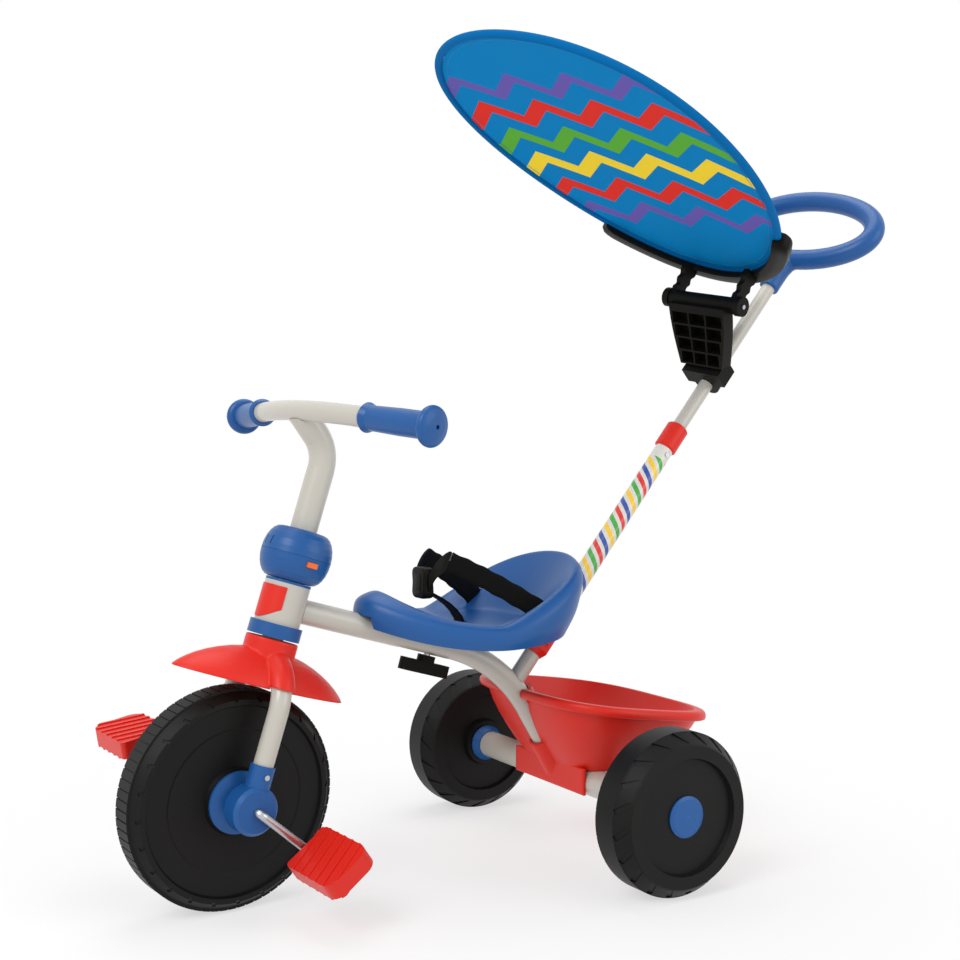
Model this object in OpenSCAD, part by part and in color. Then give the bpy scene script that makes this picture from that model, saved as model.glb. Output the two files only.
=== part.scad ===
// Toddler push along trike with a tilting sun canopy, bucket seat and rear basket.
// Millimetres. +X runs forward, +Y to the rider's left, +Z up.
// The origin lies on the ground, under the middle of the rear axle.

/* [Wheels] */
// Radius of the front wheel
front_r = 125; // [115:1:135]
// Half the width of the front wheel
front_half = 25; // [22:0.5:28]
// Half the width of the ribbed tread band
tread_half = 14.5; // [12:0.5:17]
// Width of the front wheel's rim, from the flat disc in its side out to the tread
front_rim_w = 45; // [38:1:52]
// Radius of the rear wheels
rear_r = 95.8; // [88:0.2:104]
// Half the width of a rear wheel
rear_half = 35; // [31:0.5:39]
// Width of a rear wheel's rim, from the flat disc in its side out to the tread
rear_rim_w = 30.3; // [25:0.1:36]
// Radius of the hub caps
cap_r = 24; // [20:0.5:28]
// Distance from the rear axle to the front wheel's centre
wheelbase = 455.4; // [430:0.2:480]
// Distance between the middles of the rear wheels
track = 443.8; // [420:0.2:470]

/* [Steering] */
// Lean of the steering axis from upright, in degrees
head_tilt = 17.7; // [14:0.1:21]
// Turn of the handlebar to the left as it stands, in degrees
steer_angle = 6; // [0:1:12]
// Radius of the head tube
head_r = 26.5; // [24:0.5:29]
// Height of the head tube's foot along the axis, above the front wheel's centre
head_low = 200; // [196:1:204]
// Height of the head tube's top along the axis
head_high = 247; // [243:1:250]
// Radius of the bearing ring under the head tube
ring_r = 30.5; // [29:0.5:32]
// Radius of the steerer tube
steerer_r = 12.5; // [11:0.5:14]
// Widest radius of the steering cover
cover_r = 41; // [38:0.5:44]
// Height of the steering cover
cover_h = 59.5; // [56:0.5:64]
// Radius of the stem
stem_r = 16; // [14:0.5:18]
// Height along the axis at which the stem starts to bend
stem_rise = 383; // [370:1:395]
// Radius of the stem's bend
stem_bend_r = 45; // [40:1:52]
// Angle of the stem's bend, in degrees
stem_bend = 55; // [45:1:62]
// Straight run of the stem after its bend
stem_reach = 35; // [28:1:42]
// Radius of the handlebar
bar_r = 12; // [11:0.25:13]
// Radius of the handlebar's bow
bar_bow_r = 420; // [360:5:480]
// Half angle of the handlebar's bow, in degrees
bar_bow = 14; // [10:0.5:18]
// Straight run at each end of the handlebar
bar_end = 106; // [98:1:114]
// Length of a grip
grip_len = 105; // [98:1:112]
// Radius of a grip's end knob
grip_knob_r = 22.5; // [20:0.5:26]

/* [Fork and mudguard] */
// Radius of the fork legs
leg_r = 11.5; // [10.5:0.25:12.5]
// Distance from the wheel's middle to a fork leg
leg_side = 57; // [55:0.5:59]
// Height along the axis at which the legs start to arch
leg_top = 105; // [100:1:110]
// Radius of a fork end's round housing
fork_end_r = 27; // [25:0.5:30]
// Half the length of the mudguard
guard_half_len = 112; // [100:1:122]
// Half the width of the mudguard
guard_half_w = 50; // [44:1:56]
// Gap between the front wheel's tread and the height of the mudguard's edge
guard_gap = 4; // [3:0.5:9]
// Rise of the mudguard's crown above its edge
guard_rise = 42; // [36:1:46]

/* [Pedals] */
// Length of a crank arm
crank_len = 76; // [70:1:82]
// Direction of the left crank arm, in degrees round the wheel from forward
crank_angle = 203; // [190:1:220]
// Radius of the crank rod
rod_r = 4.75; // [4:0.25:5.5]
// Length of a pedal along its spindle
pedal_len = 92; // [80:1:100]
// Breadth of a pedal
pedal_w = 60; // [54:1:66]
// Thickness of a pedal's body
pedal_t = 20; // [17:0.5:23]
// Slope of the left pedal's tread, in degrees
pedal_left_angle = -53; // [-70:1:-30]
// Slope of the right pedal's tread, in degrees
pedal_right_angle = -28; // [-50:1:0]

/* [Frame] */
// Radius of the main tube
main_r = 14.25; // [13:0.25:16]
// Wall of the frame tubes
tube_wall = 2; // [1.5:0.25:3]
// Height along the steering axis at which the main tube joins the head tube
main_join = 220; // [216:1:224]
// Slope of the main tube, in degrees
main_slope = 16.4; // [14:0.2:18]
// Length of the main tube from the steering axis to the corner of its bend
main_run = 308; // [296:1:320]
// Radius of the main tube's bend
main_bend_r = 200; // [180:1:215]
// Radius of the rear axle tube
axle_tube_r = 17.5; // [16:0.25:19]
// Radius of the rear axle rod
axle_r = 5; // [4:0.25:6]

/* [Seat] */
// Distance from the steering axis to the seat bolt, along the main tube
seat_back = 195; // [188:1:200]
// Travel of the seat along the main tube
seat_travel = 40; // [20:1:44]
// Half the width of the seat
seat_half = 110; // [100:1:118]
// Reach of the seat's nose in front of the seat's middle
seat_front = 144; // [134:1:150]
// Reach of the seat's back behind the seat's middle
seat_rear = 154; // [144:1:158]
// Height of the seat's sides above the bolt's place on the tube
seat_side_z = 27; // [24:0.5:32]
// Rise of the seat's nose above its sides
nose_rise = 39; // [30:1:46]
// Rise of the seat's back above its sides
back_rise = 74; // [62:1:84]
// Wall of the seat
seat_wall = 4; // [3:0.25:5]
// Length of the clamp knob's bar
knob_len = 68; // [56:1:76]

/* [Harness] */
// Width of the webbing
web_w = 25; // [20:0.5:30]
// Thickness of the webbing
web_t = 1.6; // [1.2:0.1:2]
// Width of the buckle
buckle_w = 34; // [28:1:38]
// Height of the buckle
buckle_h = 38; // [32:1:44]

/* [Basket] */
// Half the width of the basket's rim
basket_half = 146; // [134:1:152]
// Reach of the basket's rim behind the axle
basket_rear = 166; // [154:1:178]
// Reach of the basket's rim in front of the axle
basket_front = 74; // [66:1:80]
// Height of the rim above the axle, over the axle
basket_rim = 105; // [98:1:112]
// Wall of the basket
basket_wall = 3; // [2.5:0.25:4]

/* [Push pole] */
// Lean of the push pole from upright, in degrees
pole_lean = 39.4; // [36:0.2:42]
// Distance from the corner of the main tube's bend down to the pole's foot
pole_foot = 36; // [30:1:42]
// Radius of the lower pole tube
pole_r = 12.5; // [11.5:0.25:13.5]
// Radius of the upper pole tube
upper_r = 9.6; // [8.6:0.1:10.4]
// Distance along the pole from its foot to the red collar
collar_at = 379; // [365:1:390]
// Distance along the pole from its foot to the handle's boot
boot_at = 671; // [655:1:690]
// Turn of the upper pole to the left as it stands, in degrees
pole_turn = 16; // [0:1:24]
// Travel of the upper pole into the lower one
pole_travel = 60; // [30:1:70]
// Half the width of the handle loop, to the middle of its tube
loop_half_w = 108; // [96:1:118]
// Half the length of the handle loop, to the middle of its tube
loop_half_len = 56; // [48:1:64]
// Radius of the handle loop's tube
loop_r = 13; // [11.5:0.25:14.5]

/* [Canopy] */
// Half the length of the canopy hoop
hoop_half_len = 269; // [250:1:290]
// Half the width of the canopy hoop
hoop_half_w = 192; // [178:1:206]
// Radius of the hoop's rod
hoop_r = 4.5; // [3.5:0.25:5.5]
// Distance of the canopy's middle in front of the pole
canopy_ahead = 364; // [356:1:372]
// Distance of the canopy's middle along the pole from its foot
canopy_at = 554; // [546:1:562]
// Slope of the canopy against the square to the pole, in degrees
canopy_slope = 14.8; // [10:0.1:18]
// Distance of the canopy's hinge in front of the pole
hinge_ahead = 93; // [89:0.5:97]
// Distance of the canopy's hinge along the pole from its foot
hinge_at = 562; // [558:0.5:566]
// Half the width of the bracket at its hinge
bracket_half = 46; // [42:1:50]

/* [Fits] */
// Radial play of a shaft in its bearing
run_gap = 0.05; // [0.02:0.01:0.1]
// Gap between a piece and its seat
fit_gap = 0.3; // [0.2:0.05:0.4]

/* [Hidden] */
$fn = 48;
// Overrun of every cut past the faces that it opens
overrun = 3;
// Lap of a straight run into its bend, and step of the bend's wall below the straight run's
bend_lap = 1;
weld_gap = 0.05;
bend_step = 0.25;

// Front wheel: lean of its plane as it is steered, and the height that sets its tread on the ground
front_lean = sin(head_tilt) * sin(steer_angle);
front_z = front_r * sqrt(1 - front_lean * front_lean) + tread_half * abs(front_lean);
front_bevel = 11;
front_bead_in = 19;
front_bead_r = front_r - front_bead_in;
front_disc_r = front_r - front_rim_w;
front_step = 2;
front_hub_r = 36;
front_disc_in = 5;
tread_count = 72;
tread_depth = 1;
tread_base = 3;
tread_groove_share = 0.14;
shoulder_count = 24;
shoulder_depth = 1.6;
shoulder_w = 4;
shoulder_len = 12;
shoulder_slant = 25;

// Rear wheels
rear_crown = 16;
rear_bead_in = 11.8;
rear_bead_r = rear_r - rear_bead_in;
rear_disc_r = rear_r - rear_rim_w;
rear_face_in = 2;
rear_disc_in = 8;
rear_hub_r = 30;
rear_recess_r = 14;
rear_recess = 16;
rear_groove_count = 20;
rear_groove_depth = 4;
rear_groove_w = 7;
rear_groove_len = 22;
rear_groove_slant = 35;
rear_bevel_turn = -atan2(rear_r - rear_bead_r, rear_half - rear_face_in - rear_crown);
wheel_wall = 3;
cap_t = 3.5;
cap_dome = 1;
cap_skirt = 5;
cap_skirt_t = 2.5;
nut_r = 8;
nut_t = 6;

// Steering head
bush_spigot = 15;
bush_r = 19;
bush_flange_t = 3;
ring_h = 15.5;
head_badge_t = 0.6;
badge_low = 203;
badge_high = 242;
badge_turn = 68;
badge_bow_r = 30;
cover_low = head_high + bush_flange_t + 2 * fit_gap;
cover_high = cover_low + cover_h;
cover_end_r = 25;
cover_wall = 3;
barrel_share = 1;
cover_split = cover_low + cover_h / 2;
cover_slot_w = 1.6;
cover_slot_h = 10;
cover_slot_gap = 5;
button_w = 13;
button_h = 6;
button_travel = 2.5;
button_proud = 1;
button_deep = cover_wall + 2 * button_travel;
button_drop = 7.5;
steerer_top = cover_high - cover_wall;
stem_low = cover_low + cover_wall + fit_gap;

// Stem and handlebar
stem_top_u = stem_bend_r * (1 - cos(stem_bend)) + stem_reach * sin(stem_bend);
stem_top_w = stem_rise + stem_bend_r * sin(stem_bend) + stem_reach * cos(stem_bend);
grip_r = 15;
grip_flange_r = 16.8;
grip_flange_t = 8;
grip_knob_t = 12;
grip_hole_r = 2.5;
grip_hole_len = 8;
grip_cap = 14;
grip_dome = 3;
grip_wall = grip_r - bar_r;

// Fork, fork ends, mudguard
fork_low = 24;
sleeve_r = 14;
sleeve_top = 49;
end_skin = 1;
end_in = leg_side - sleeve_r - end_skin;
end_out = leg_side + sleeve_r + end_skin;
end_bevel = 4;
end_screw_r = 3;
end_screw_at = 38;
end_screw_t = 1.5;
flange_r = 35;
flange_neck_r = 15;
flange_rim_t = 4;
guard_wall = 2.5;
guard_edge = front_r + guard_gap;
guard_neck_r = 30.5;
guard_neck_low = 158;
neck_gap = 2;
guard_neck_top = head_low - ring_h - neck_gap;
guard_tunnel_skin = 4;
guard_tunnel_r = leg_r + guard_tunnel_skin;
guard_tunnel_low = 133;
guard_point_share = 0.2;
guard_shares = [1, 0.96, 0.86, 0.7, 0.5, 0.25];
guard_curve_share = 0.8;

// Cranks and pedals
crank_bend_r = 6.5;
crank_side = end_out + crank_bend_r + fit_gap;
spindle_end = 165;
pedal_in = crank_side + crank_bend_r + fit_gap;
pedal_corner_in = 6;
pedal_corner_out = 16;
rib_count = 6;
rib_w = 4;
rib_h = 1.5;
rib_slant = 18;

// Main tube: join with the head, corner of the bend, and slope of the lower run to the axle
join_x = wheelbase - main_join * sin(head_tilt);
join_z = front_z + main_join * cos(head_tilt);
corner_x = join_x - main_run * cos(main_slope);
corner_z = join_z - main_run * sin(main_slope);
lower_slope = atan2(corner_z - rear_r, corner_x);
lower_run = norm([corner_x, corner_z - rear_r]);
main_bend = lower_slope - main_slope;
bend_tangent = main_bend_r * tan(main_bend / 2);
bush_len = 12;
axle_tube_half = track / 2 - rear_half - bush_len;
bush_out_r = 24;
bush_neck_r = 19;
bush_plug = 14;
bush_gap = 0.5;
axle_end_in = 2;
axle_end = track / 2 + rear_half - rear_disc_in - axle_end_in;

// Seat, its clamp and its sizes against the bolt's place on the tube
bolt_x = join_x - seat_back * cos(main_slope);
bolt_z = join_z - seat_back * sin(main_slope);
bolt_r = 4;
bolt_head_r = 9;
bolt_head_t = 3;
bolt_low = -34;
slot_play = 0.5;
slot_half_w = bolt_r + slot_play;
seat_mid = -52;
seat_egg_share = 0.30;
skirt_shares = [0.35, 0.7, 0.88];
crest_shares = [0.1, 0.4];
dish_shares = [0.88, 0.55, 0.2, 0.04];
saddle_share = 0.8;
seat_skirt_z = -1;
nose_skirt = 28;
back_tuck = 25;
tuck_shares = [0.55, 0.2, 0.4, 0.8];
back_skirt = 13;
seat_floor_z = 22;
floor_rise = 15;
crest_in = 13;
nose_crest = 12;
rim_roll = 8;
wall_run = 16;
floor_run = 30;
seat_floor_in = 78;
seat_dish_in = 98;
seat_dish_x = seat_mid + seat_front - seat_dish_in;
back_notch = 40;
back_square_share = 0.2;
nose_notch = 36;
nose_notch_z = 12.5;
nose_notch_half = 24;
skirt_in = 3;
saddle_half_len = 34;
saddle_half = 22;
seat_steps = 40;
belt_slot_x = -113;
belt_slot_side = 74;
belt_slot_z = 41;
belt_slot_t = 5;
crotch_x = -50;
knob_r = 11;
knob_h = 7.5;
knob_gap = 1.5;
bolt_set = 7;
bolt_lift = bolt_set * tan(main_slope);
knob_bar_t = 15;
knob_bar_w = 18;
knob_top = -main_r - knob_gap;

// Harness: places against the bolt
buckle_x = 3;
buckle_z = 72;
buckle_t = 14;
buckle_round = 5;
tongue_x = -16;
tongue_side = 27;
tongue_z = 99;
tongue_t = 4;
tongue_tab = 20;
crotch_lean = 8;
crotch_rise = 42;
belt_bow_x = -62;
belt_bow_side = 46;
belt_bow_z = 78;
web_steps = 14;

// Basket, against the axle, with its floor on the axle tube
axle_bed = 1;
basket_floor = axle_tube_r + fit_gap - axle_bed;
rim_slope_share = 0.15;
rim_square_share = 0.62;
hub_share = 0.5;
basket_mid = -38;
basket_lip = 10;
lip_drop = 12;
floor_rear = 106;
floor_front = 22;
floor_half = 94;
basket_steps = 48;
apron_half = 78;
apron_low = -13;
apron_t = 5;
channel_gap = 1.2;
channel_low = 22;
channel_len = 106;
channel_wrap = 3;
boss_low = -4;
boss_high = 56;
boss_half = 26;
boss_deep = 20;

// Push pole
pole_x = corner_x - pole_foot * cos(lower_slope);
pole_z = corner_z - pole_foot * sin(lower_slope);
spigot_r = 11;
spigot_top = 112;
clip_low = 45;
clip_high = 78;
clip_r = 16;
clip_bevel = 4;
lower_low = 54;
collar_h = 38;
collar_r = 15.2;
collar_lip = 6;
collar_bevel = 2;
upper_rest = 236;
upper_low = upper_rest + pole_travel;
slider_h = 22;
release_r = 4.5;
release_at = 66;
release_travel = 1.5;
release_len = 6;
screw_r = 3;
screw_t = 1.6;
collar_screw_drop = 9;
boot_r = 13.2;
boot_len = 62;
boot_flare = 34;
loop_sink = 6;
loop_at = boot_at + boot_len + loop_half_len - loop_sink;
loop_steps = 40;
loop_sides = 12;
boot_sides = 24;

// Canopy, bracket and cradle
hoop_nose_share = 0.063;
hoop_egg_share = 0.024;
hoop_steps = 56;
hoop_sides = 8;
cloth_t = 1.4;
cloth_dome = 8;
cloth_shares = [0.4, 0.75, 1];
cradle_from_angle = 131;
cradle_steps = 22;
cradle_deep = 24;
cradle_tall = 22;
cradle_lean = 4;
cradle_wall = 3;
cradle_leg_t = 8;
cradle_leg_r = 11;
hinge_r = 3;
hinge_knob_r = 13;
hinge_knob_t = 9;
ear_r = 11;
clamp_low = 494;
clamp_h = 28;
clamp_r = 19;
clamp_half = 31;
clamp_front = 24;
panel_t = 20;
panel_low_half = 35;
panel_wall = 2.6;
panel_back = 4;
pocket_cols = 3;
pocket_rows = 4;

// Places
module at_head() translate([wheelbase, 0, front_z]) rotate([0, -head_tilt, 0]) children();
module at_fork() at_head() rotate([0, 0, steer_angle]) children();
module at_bolt() translate([bolt_x, 0, bolt_z]) children();
module at_axle() translate([0, 0, rear_r]) children();
module at_pole() translate([pole_x, 0, pole_z]) rotate([0, -pole_lean, 0]) children();
module at_upper() at_pole() rotate([0, 0, pole_turn]) children();
module at_canopy() at_upper() translate([canopy_ahead, 0, canopy_at]) rotate([0, canopy_slope, 0]) children();
module along_y() rotate([-90, 0, 0]) children();
module both_sides() {
    children();
    mirror([0, 1, 0]) children();
}
module side(left) {
    if (left) children();
    else mirror([0, 1, 0]) children();
}

// Shared shapes
module tube(r_out, r_in, h) difference() {
    cylinder(r = r_out, h = h);
    translate([0, 0, -overrun]) cylinder(r = r_in, h = h + 2 * overrun);
}
module pin(r, low, high) translate([0, 0, low]) cylinder(r = r, h = high - low);

// A closed skin over rings of points, with a point in the middle of each end or, where ends are given, with
// the triangles that they list
function middle(ring) = [for (k = [0:2]) let (s = [for (p = ring) p[k]]) s * [for (p = ring) 1] / len(ring)];
module skin(rings, ends = []) {
    n = len(rings[0]);
    m = len(rings);
    points = concat([for (r = rings) each r], len(ends) > 0 ? [] : [middle(rings[0]), middle(rings[m - 1])]);
    sides = [for (i = [0:m - 2], j = [0:n - 1]) let (a = i * n + j, b = i * n + (j + 1) % n)
        each [[a, b, b + n], [a, b + n, a + n]]];
    low = len(ends) > 0 ? [for (e = ends) [e[2], e[1], e[0]]] : [for (j = [0:n - 1]) [(j + 1) % n, j, m * n]];
    high = len(ends) > 0 ? [for (e = ends) [for (k = e) (m - 1) * n + k]]
        : [for (j = [0:n - 1]) [(m - 1) * n + j, (m - 1) * n + (j + 1) % n, m * n + 1]];
    polyhedron(points, concat(sides, low, high));
}
// A closed loop of rings, with no ends
module skin_loop(rings) {
    n = len(rings[0]);
    m = len(rings);
    points = [for (r = rings) each r];
    sides = [for (i = [0:m - 1], j = [0:n - 1])
        let (a = i * n + j, b = i * n + (j + 1) % n, c = ((i + 1) % m) * n + (j + 1) % n,
            d = ((i + 1) % m) * n + j)
        each [[a, b, c], [a, c, d]]];
    polyhedron(points, sides);
}
function unit(v) = v / norm(v);
// Rings of a section carried along a path, with its width kept square to up
function swept(path, section, up) = [for (i = [0:len(path) - 1])
    let (ahead = path[min(i + 1, len(path) - 1)], behind = path[max(i - 1, 0)], t = unit(ahead - behind),
        s = unit(cross(up, t)), n = cross(t, s))
    [for (q = section) path[i] + q[0] * s + q[1] * n]];
function oblong(w, t) = [[-w / 2, t / 2], [w / 2, t / 2], [w / 2, -t / 2], [-w / 2, -t / 2]];
function curve(a, b, c, steps) = [for (i = [0:steps]) let (k = i / steps)
    (1 - k) * (1 - k) * a + 2 * k * (1 - k) * b + k * k * c];

// Frame
module main_line(r, extra) translate([join_x, 0, join_z]) rotate([0, -90 - main_slope, 0])
    cylinder(r = r, h = main_run - bend_tangent + extra);
module lower_line(r) {
    translate([corner_x, 0, corner_z]) rotate([0, -main_slope, 0]) translate([bend_tangent, 0, -main_bend_r])
        rotate([90, 0, 0]) rotate([0, 0, 90]) rotate_extrude(angle = main_bend)
            translate([main_bend_r, 0]) circle(r = r - bend_step);
    at_axle() rotate([0, 90 - lower_slope, 0]) cylinder(r = r, h = lower_run - bend_tangent + bend_lap);
}
module main_shape(r) {
    main_line(r, bend_lap);
    lower_line(r);
}
// The frame's tube is in two lengths, butted and welded where the bend begins
module main_tube() color("whitesmoke") difference() {
    main_line(main_r, -weld_gap);
    main_line(main_r - tube_wall, overrun);
    at_head() pin(head_r + fit_gap, head_low - overrun, head_high + overrun);
    seat_slot();
}
module lower_tube() color("whitesmoke") difference() {
    lower_line(main_r);
    lower_line(main_r - tube_wall);
    main_line(main_r - tube_wall, bend_lap);
    at_axle() along_y() cylinder(r = axle_tube_r + fit_gap, h = track, center = true);
}
module at_clamp() at_bolt() rotate([0, -main_slope, 0]) translate([-bolt_set, 0, 0]) children();
module seat_slot() at_clamp() {
    translate([0, -slot_half_w, -2 * main_r]) cube([seat_travel, 2 * slot_half_w, 4 * main_r]);
    for (x = [0, seat_travel]) translate([x, 0, -2 * main_r]) cylinder(r = slot_half_w, h = 4 * main_r);
}
module head_tube() color("whitesmoke") at_head() difference() {
    pin(head_r, head_low, head_high);
    pin(bush_r, head_low - overrun, head_high + overrun);
}
module head_badge() color("crimson") at_head() intersection() {
    rotate([0, 0, -badge_turn]) rotate_extrude(angle = 2 * badge_turn)
        translate([head_r + fit_gap, badge_low - overrun])
            square([head_badge_t, badge_high - badge_low + overrun]);
    rotate([90, 0, 90]) linear_extrude(height = 2 * head_r) translate([0, badge_low + badge_bow_r]) {
        circle(r = badge_bow_r);
        translate([-badge_bow_r, 0]) square(2 * badge_bow_r);
    }
}
module upper_steering_bush() color("royalblue") at_head() difference() {
    union() {
        pin(bush_r - run_gap, head_high - bush_spigot, head_high);
        pin(head_r, head_high, head_high + bush_flange_t);
    }
    pin(steerer_r + run_gap, head_high - bush_spigot - overrun, head_high + bush_flange_t + overrun);
}
module lower_steering_ring() color("royalblue") at_head() difference() {
    union() {
        pin(bush_r - run_gap, head_low, head_low + bush_spigot);
        pin(ring_r, head_low - ring_h, head_low);
    }
    pin(steerer_r + run_gap, head_low - ring_h - overrun, head_low + bush_spigot + overrun);
}
module rear_axle_tube() color("whitesmoke") at_axle() along_y() difference() {
    cylinder(r = axle_tube_r, h = 2 * axle_tube_half, center = true);
    cylinder(r = axle_tube_r - tube_wall, h = 2 * axle_tube_half + overrun, center = true);
}
module rear_axle_rod() color("silver") at_axle() along_y() cylinder(r = axle_r, h = 2 * axle_end,
    center = true);
module axle_bush(left) color("mediumblue") side(left) at_axle() along_y() difference() {
    union() {
        pin(axle_tube_r - tube_wall - run_gap, axle_tube_half - bush_plug, axle_tube_half);
        rotate_extrude() polygon([[0, axle_tube_half], [bush_neck_r, axle_tube_half],
            [bush_out_r, track / 2 - rear_half - bush_gap - tube_wall],
            [bush_out_r, track / 2 - rear_half - bush_gap], [0, track / 2 - rear_half - bush_gap]]);
    }
    pin(axle_r + run_gap, 0, track);
}
module axle_bush_left() axle_bush(true);
module axle_bush_right() axle_bush(false);
module axle_nuts() color("silver") both_sides() at_axle() along_y() translate([0, 0, axle_end - nut_t])
    difference() {
        cylinder(r = nut_r, h = nut_t, $fn = 6);
        translate([0, 0, -overrun]) cylinder(r = axle_r + run_gap, h = nut_t + 2 * overrun);
    }

// Seat
function seat_point(a, inset, z) = let (reach = (cos(a) >= 0 ? seat_front : seat_rear) - inset)
    [seat_mid + reach * cos(a), (seat_half - inset) * sin(a)
        * (1 - seat_egg_share * cos(a) + back_square_share * pow(max(0, -cos(a)), 2)), z];
function seat_rim(a) = seat_side_z + (cos(a) >= 0 ? nose_rise * pow(cos(a), 2) : back_rise * pow(-cos(a),
    1.15));
function seat_skirt(a) = seat_skirt_z + (cos(a) >= 0 ? nose_skirt * pow(cos(a), 2.2)
    : back_skirt * pow(-cos(a), 1.5) + back_notch * pow(-cos(a), 12));
function seat_floor(a) = seat_floor_z + floor_rise * max(0, cos(a));
function seat_crest(a) = crest_in + nose_crest * pow(max(0, cos(a)), 2);
function seat_tuck(a) = back_tuck * pow(max(0, -cos(a)), 1.2);
// The wall's line from the skirt's foot over the crest to the floor, drawn in by the wall's thickness
function seat_line(a, t) = let (r = seat_rim(a), s = seat_skirt(a), f = seat_floor(a), c = seat_crest(a),
    u = seat_tuck(a))
    [[skirt_in + t + u, s],
     [t + tuck_shares[0] * u, s + skirt_shares[0] * (r - s)],
     [t + crest_shares[0] * c + tuck_shares[1] * u, s + skirt_shares[1] * (r - s)],
     [t / 2 + crest_shares[1] * c, s + skirt_shares[2] * (r - s) - t / 2],
     [c, r - t],
     [c + rim_roll, f - t + dish_shares[0] * (r - f)],
     [c + wall_run - t / 2 + tuck_shares[2] * u, f - t + dish_shares[1] * (r - f)],
     [c + wall_run + rim_roll - t / 2 + tuck_shares[3] * u, f - t + dish_shares[2] * (r - f)],
     [c + floor_run + u, f - t + dish_shares[3] * (r - f)],
     [seat_floor_in, seat_floor_z - t + crest_shares[1] * (f - seat_floor_z)],
     [seat_dish_in, seat_floor_z - t]];
module seat_shell() color("royalblue") at_bolt() difference() {
    union() {
        skin([for (k = [10:-1:-11]) [for (j = [0:seat_steps - 1]) let (a = -j * 360 / seat_steps,
            q = k >= 0 ? seat_line(a, seat_wall)[k] : seat_line(a, 0)[-1 - k]) seat_point(a, q[0], q[1])]]);
        rotate([90, 0, 0]) linear_extrude(height = 2 * saddle_half, center = true) polygon([
            [-saddle_half_len, -saddle_half_len * tan(main_slope) + bolt_r],
            [saddle_half_len, saddle_half_len * tan(main_slope) + bolt_r],
            [saddle_half_len, seat_floor_z + saddle_share * floor_rise], [seat_dish_x,
                seat_floor_z - seat_wall / 2],
            [-saddle_half_len, seat_floor_z - seat_wall / 2]]);
    }
    rotate([0, -main_slope, 0]) rotate([0, 90, 0])
        cylinder(r = main_r + fit_gap, h = 4 * seat_front, center = true);
    rotate([0, -main_slope, 0]) translate([-bolt_set, 0, 0]) cylinder(r = bolt_r + fit_gap, h = seat_front);
    rotate([0, -main_slope, 0]) translate([seat_mid + seat_front - nose_notch, -nose_notch_half,
        -seat_half]) cube([seat_front, 2 * nose_notch_half, seat_half + nose_notch_z]);
    belt_slots();
    translate([crotch_x, 0, seat_floor_z]) cube([belt_slot_t, web_w + belt_slot_t, 4 * belt_slot_t],
        center = true);
}
module seat_bolt() color("silver") at_clamp() {
    pin(bolt_r, bolt_low, seat_floor_z + seat_wall + bolt_lift);
    translate([0, 0, seat_floor_z + seat_wall + bolt_lift]) pin(bolt_head_r, 0, bolt_head_t);
}
module seat_knob() color("black") at_clamp() difference() {
    union() {
        pin(knob_r, knob_top - knob_h, knob_top);
        translate([0, 0, knob_top - knob_h - knob_bar_t / 2])
            cube([knob_len - knob_bar_w, knob_bar_w, knob_bar_t], center = true);
        for (x = [-1, 1]) translate([x * (knob_len - knob_bar_w) / 2, 0, knob_top - knob_h - knob_bar_t])
            cylinder(r = knob_bar_w / 2, h = knob_bar_t);
    }
    pin(bolt_r + run_gap, bolt_low - fit_gap, 0);
}

// Harness: two lap straps through slots in the seat's walls, their tongues, the buckle and the crotch strap
belt_slot = [belt_slot_x, belt_slot_side, belt_slot_z];
belt_bow = [belt_bow_x, belt_bow_side, belt_bow_z];
tongue_top = [tongue_x, tongue_side, tongue_z];
tongue_foot = [buckle_x, buckle_w / 2 + fit_gap, buckle_z];
belt_up_shares = [0.3, 0.9, 0.25];
belt_in = unit(belt_bow - belt_slot);
belt_out = unit(tongue_top - belt_bow);
belt_end = tongue_top - (tongue_t / 2 + fit_gap) * belt_out;
module lap_strap(left) color("black") at_bolt() side(left)
    skin(swept(curve(belt_slot - seat_wall * belt_in, belt_bow, belt_end, web_steps), oblong(web_w, web_t),
        belt_up_shares));
module lap_strap_left() lap_strap(true);
module lap_strap_right() lap_strap(false);
module belt_slots() both_sides() skin(swept([belt_slot - web_w * belt_in, belt_slot + web_w * belt_in],
    oblong(web_w + 4 * fit_gap, web_t + 4 * fit_gap), belt_up_shares));
module crotch_strap() color("black") at_bolt() skin(swept(curve([crotch_x, 0, seat_floor_z - seat_wall],
    [crotch_x + crotch_lean, 0, crotch_rise],
    [buckle_x - buckle_t / 2 - 2 * fit_gap, 0, buckle_z - buckle_h / 3], web_steps),
    oblong(web_w, web_t), [-1, 0, 1]));
module buckle_socket() color("black") at_bolt() translate([buckle_x, 0, buckle_z])
    rotate([90, 0, 90]) linear_extrude(height = buckle_t, center = true) rounded(buckle_w, buckle_h,
        buckle_round);
module rounded(w, h, r) union() {
    square([w - 2 * r, h], center = true);
    square([w, h - 2 * r], center = true);
    for (x = [-1, 1], y = [-1, 1]) translate([x * (w / 2 - r), y * (h / 2 - r)]) circle(r = r);
}
module buckle_tongues() color("black") at_bolt() both_sides()
    skin([swept([tongue_top - tongue_t / 2 * belt_out, tongue_top], oblong(web_w + 2 * tongue_t, tongue_t),
        belt_up_shares)[0],
        [for (q = oblong(tongue_tab, tongue_t)) tongue_foot + [q[1], 0, -q[0]]]]);

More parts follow.
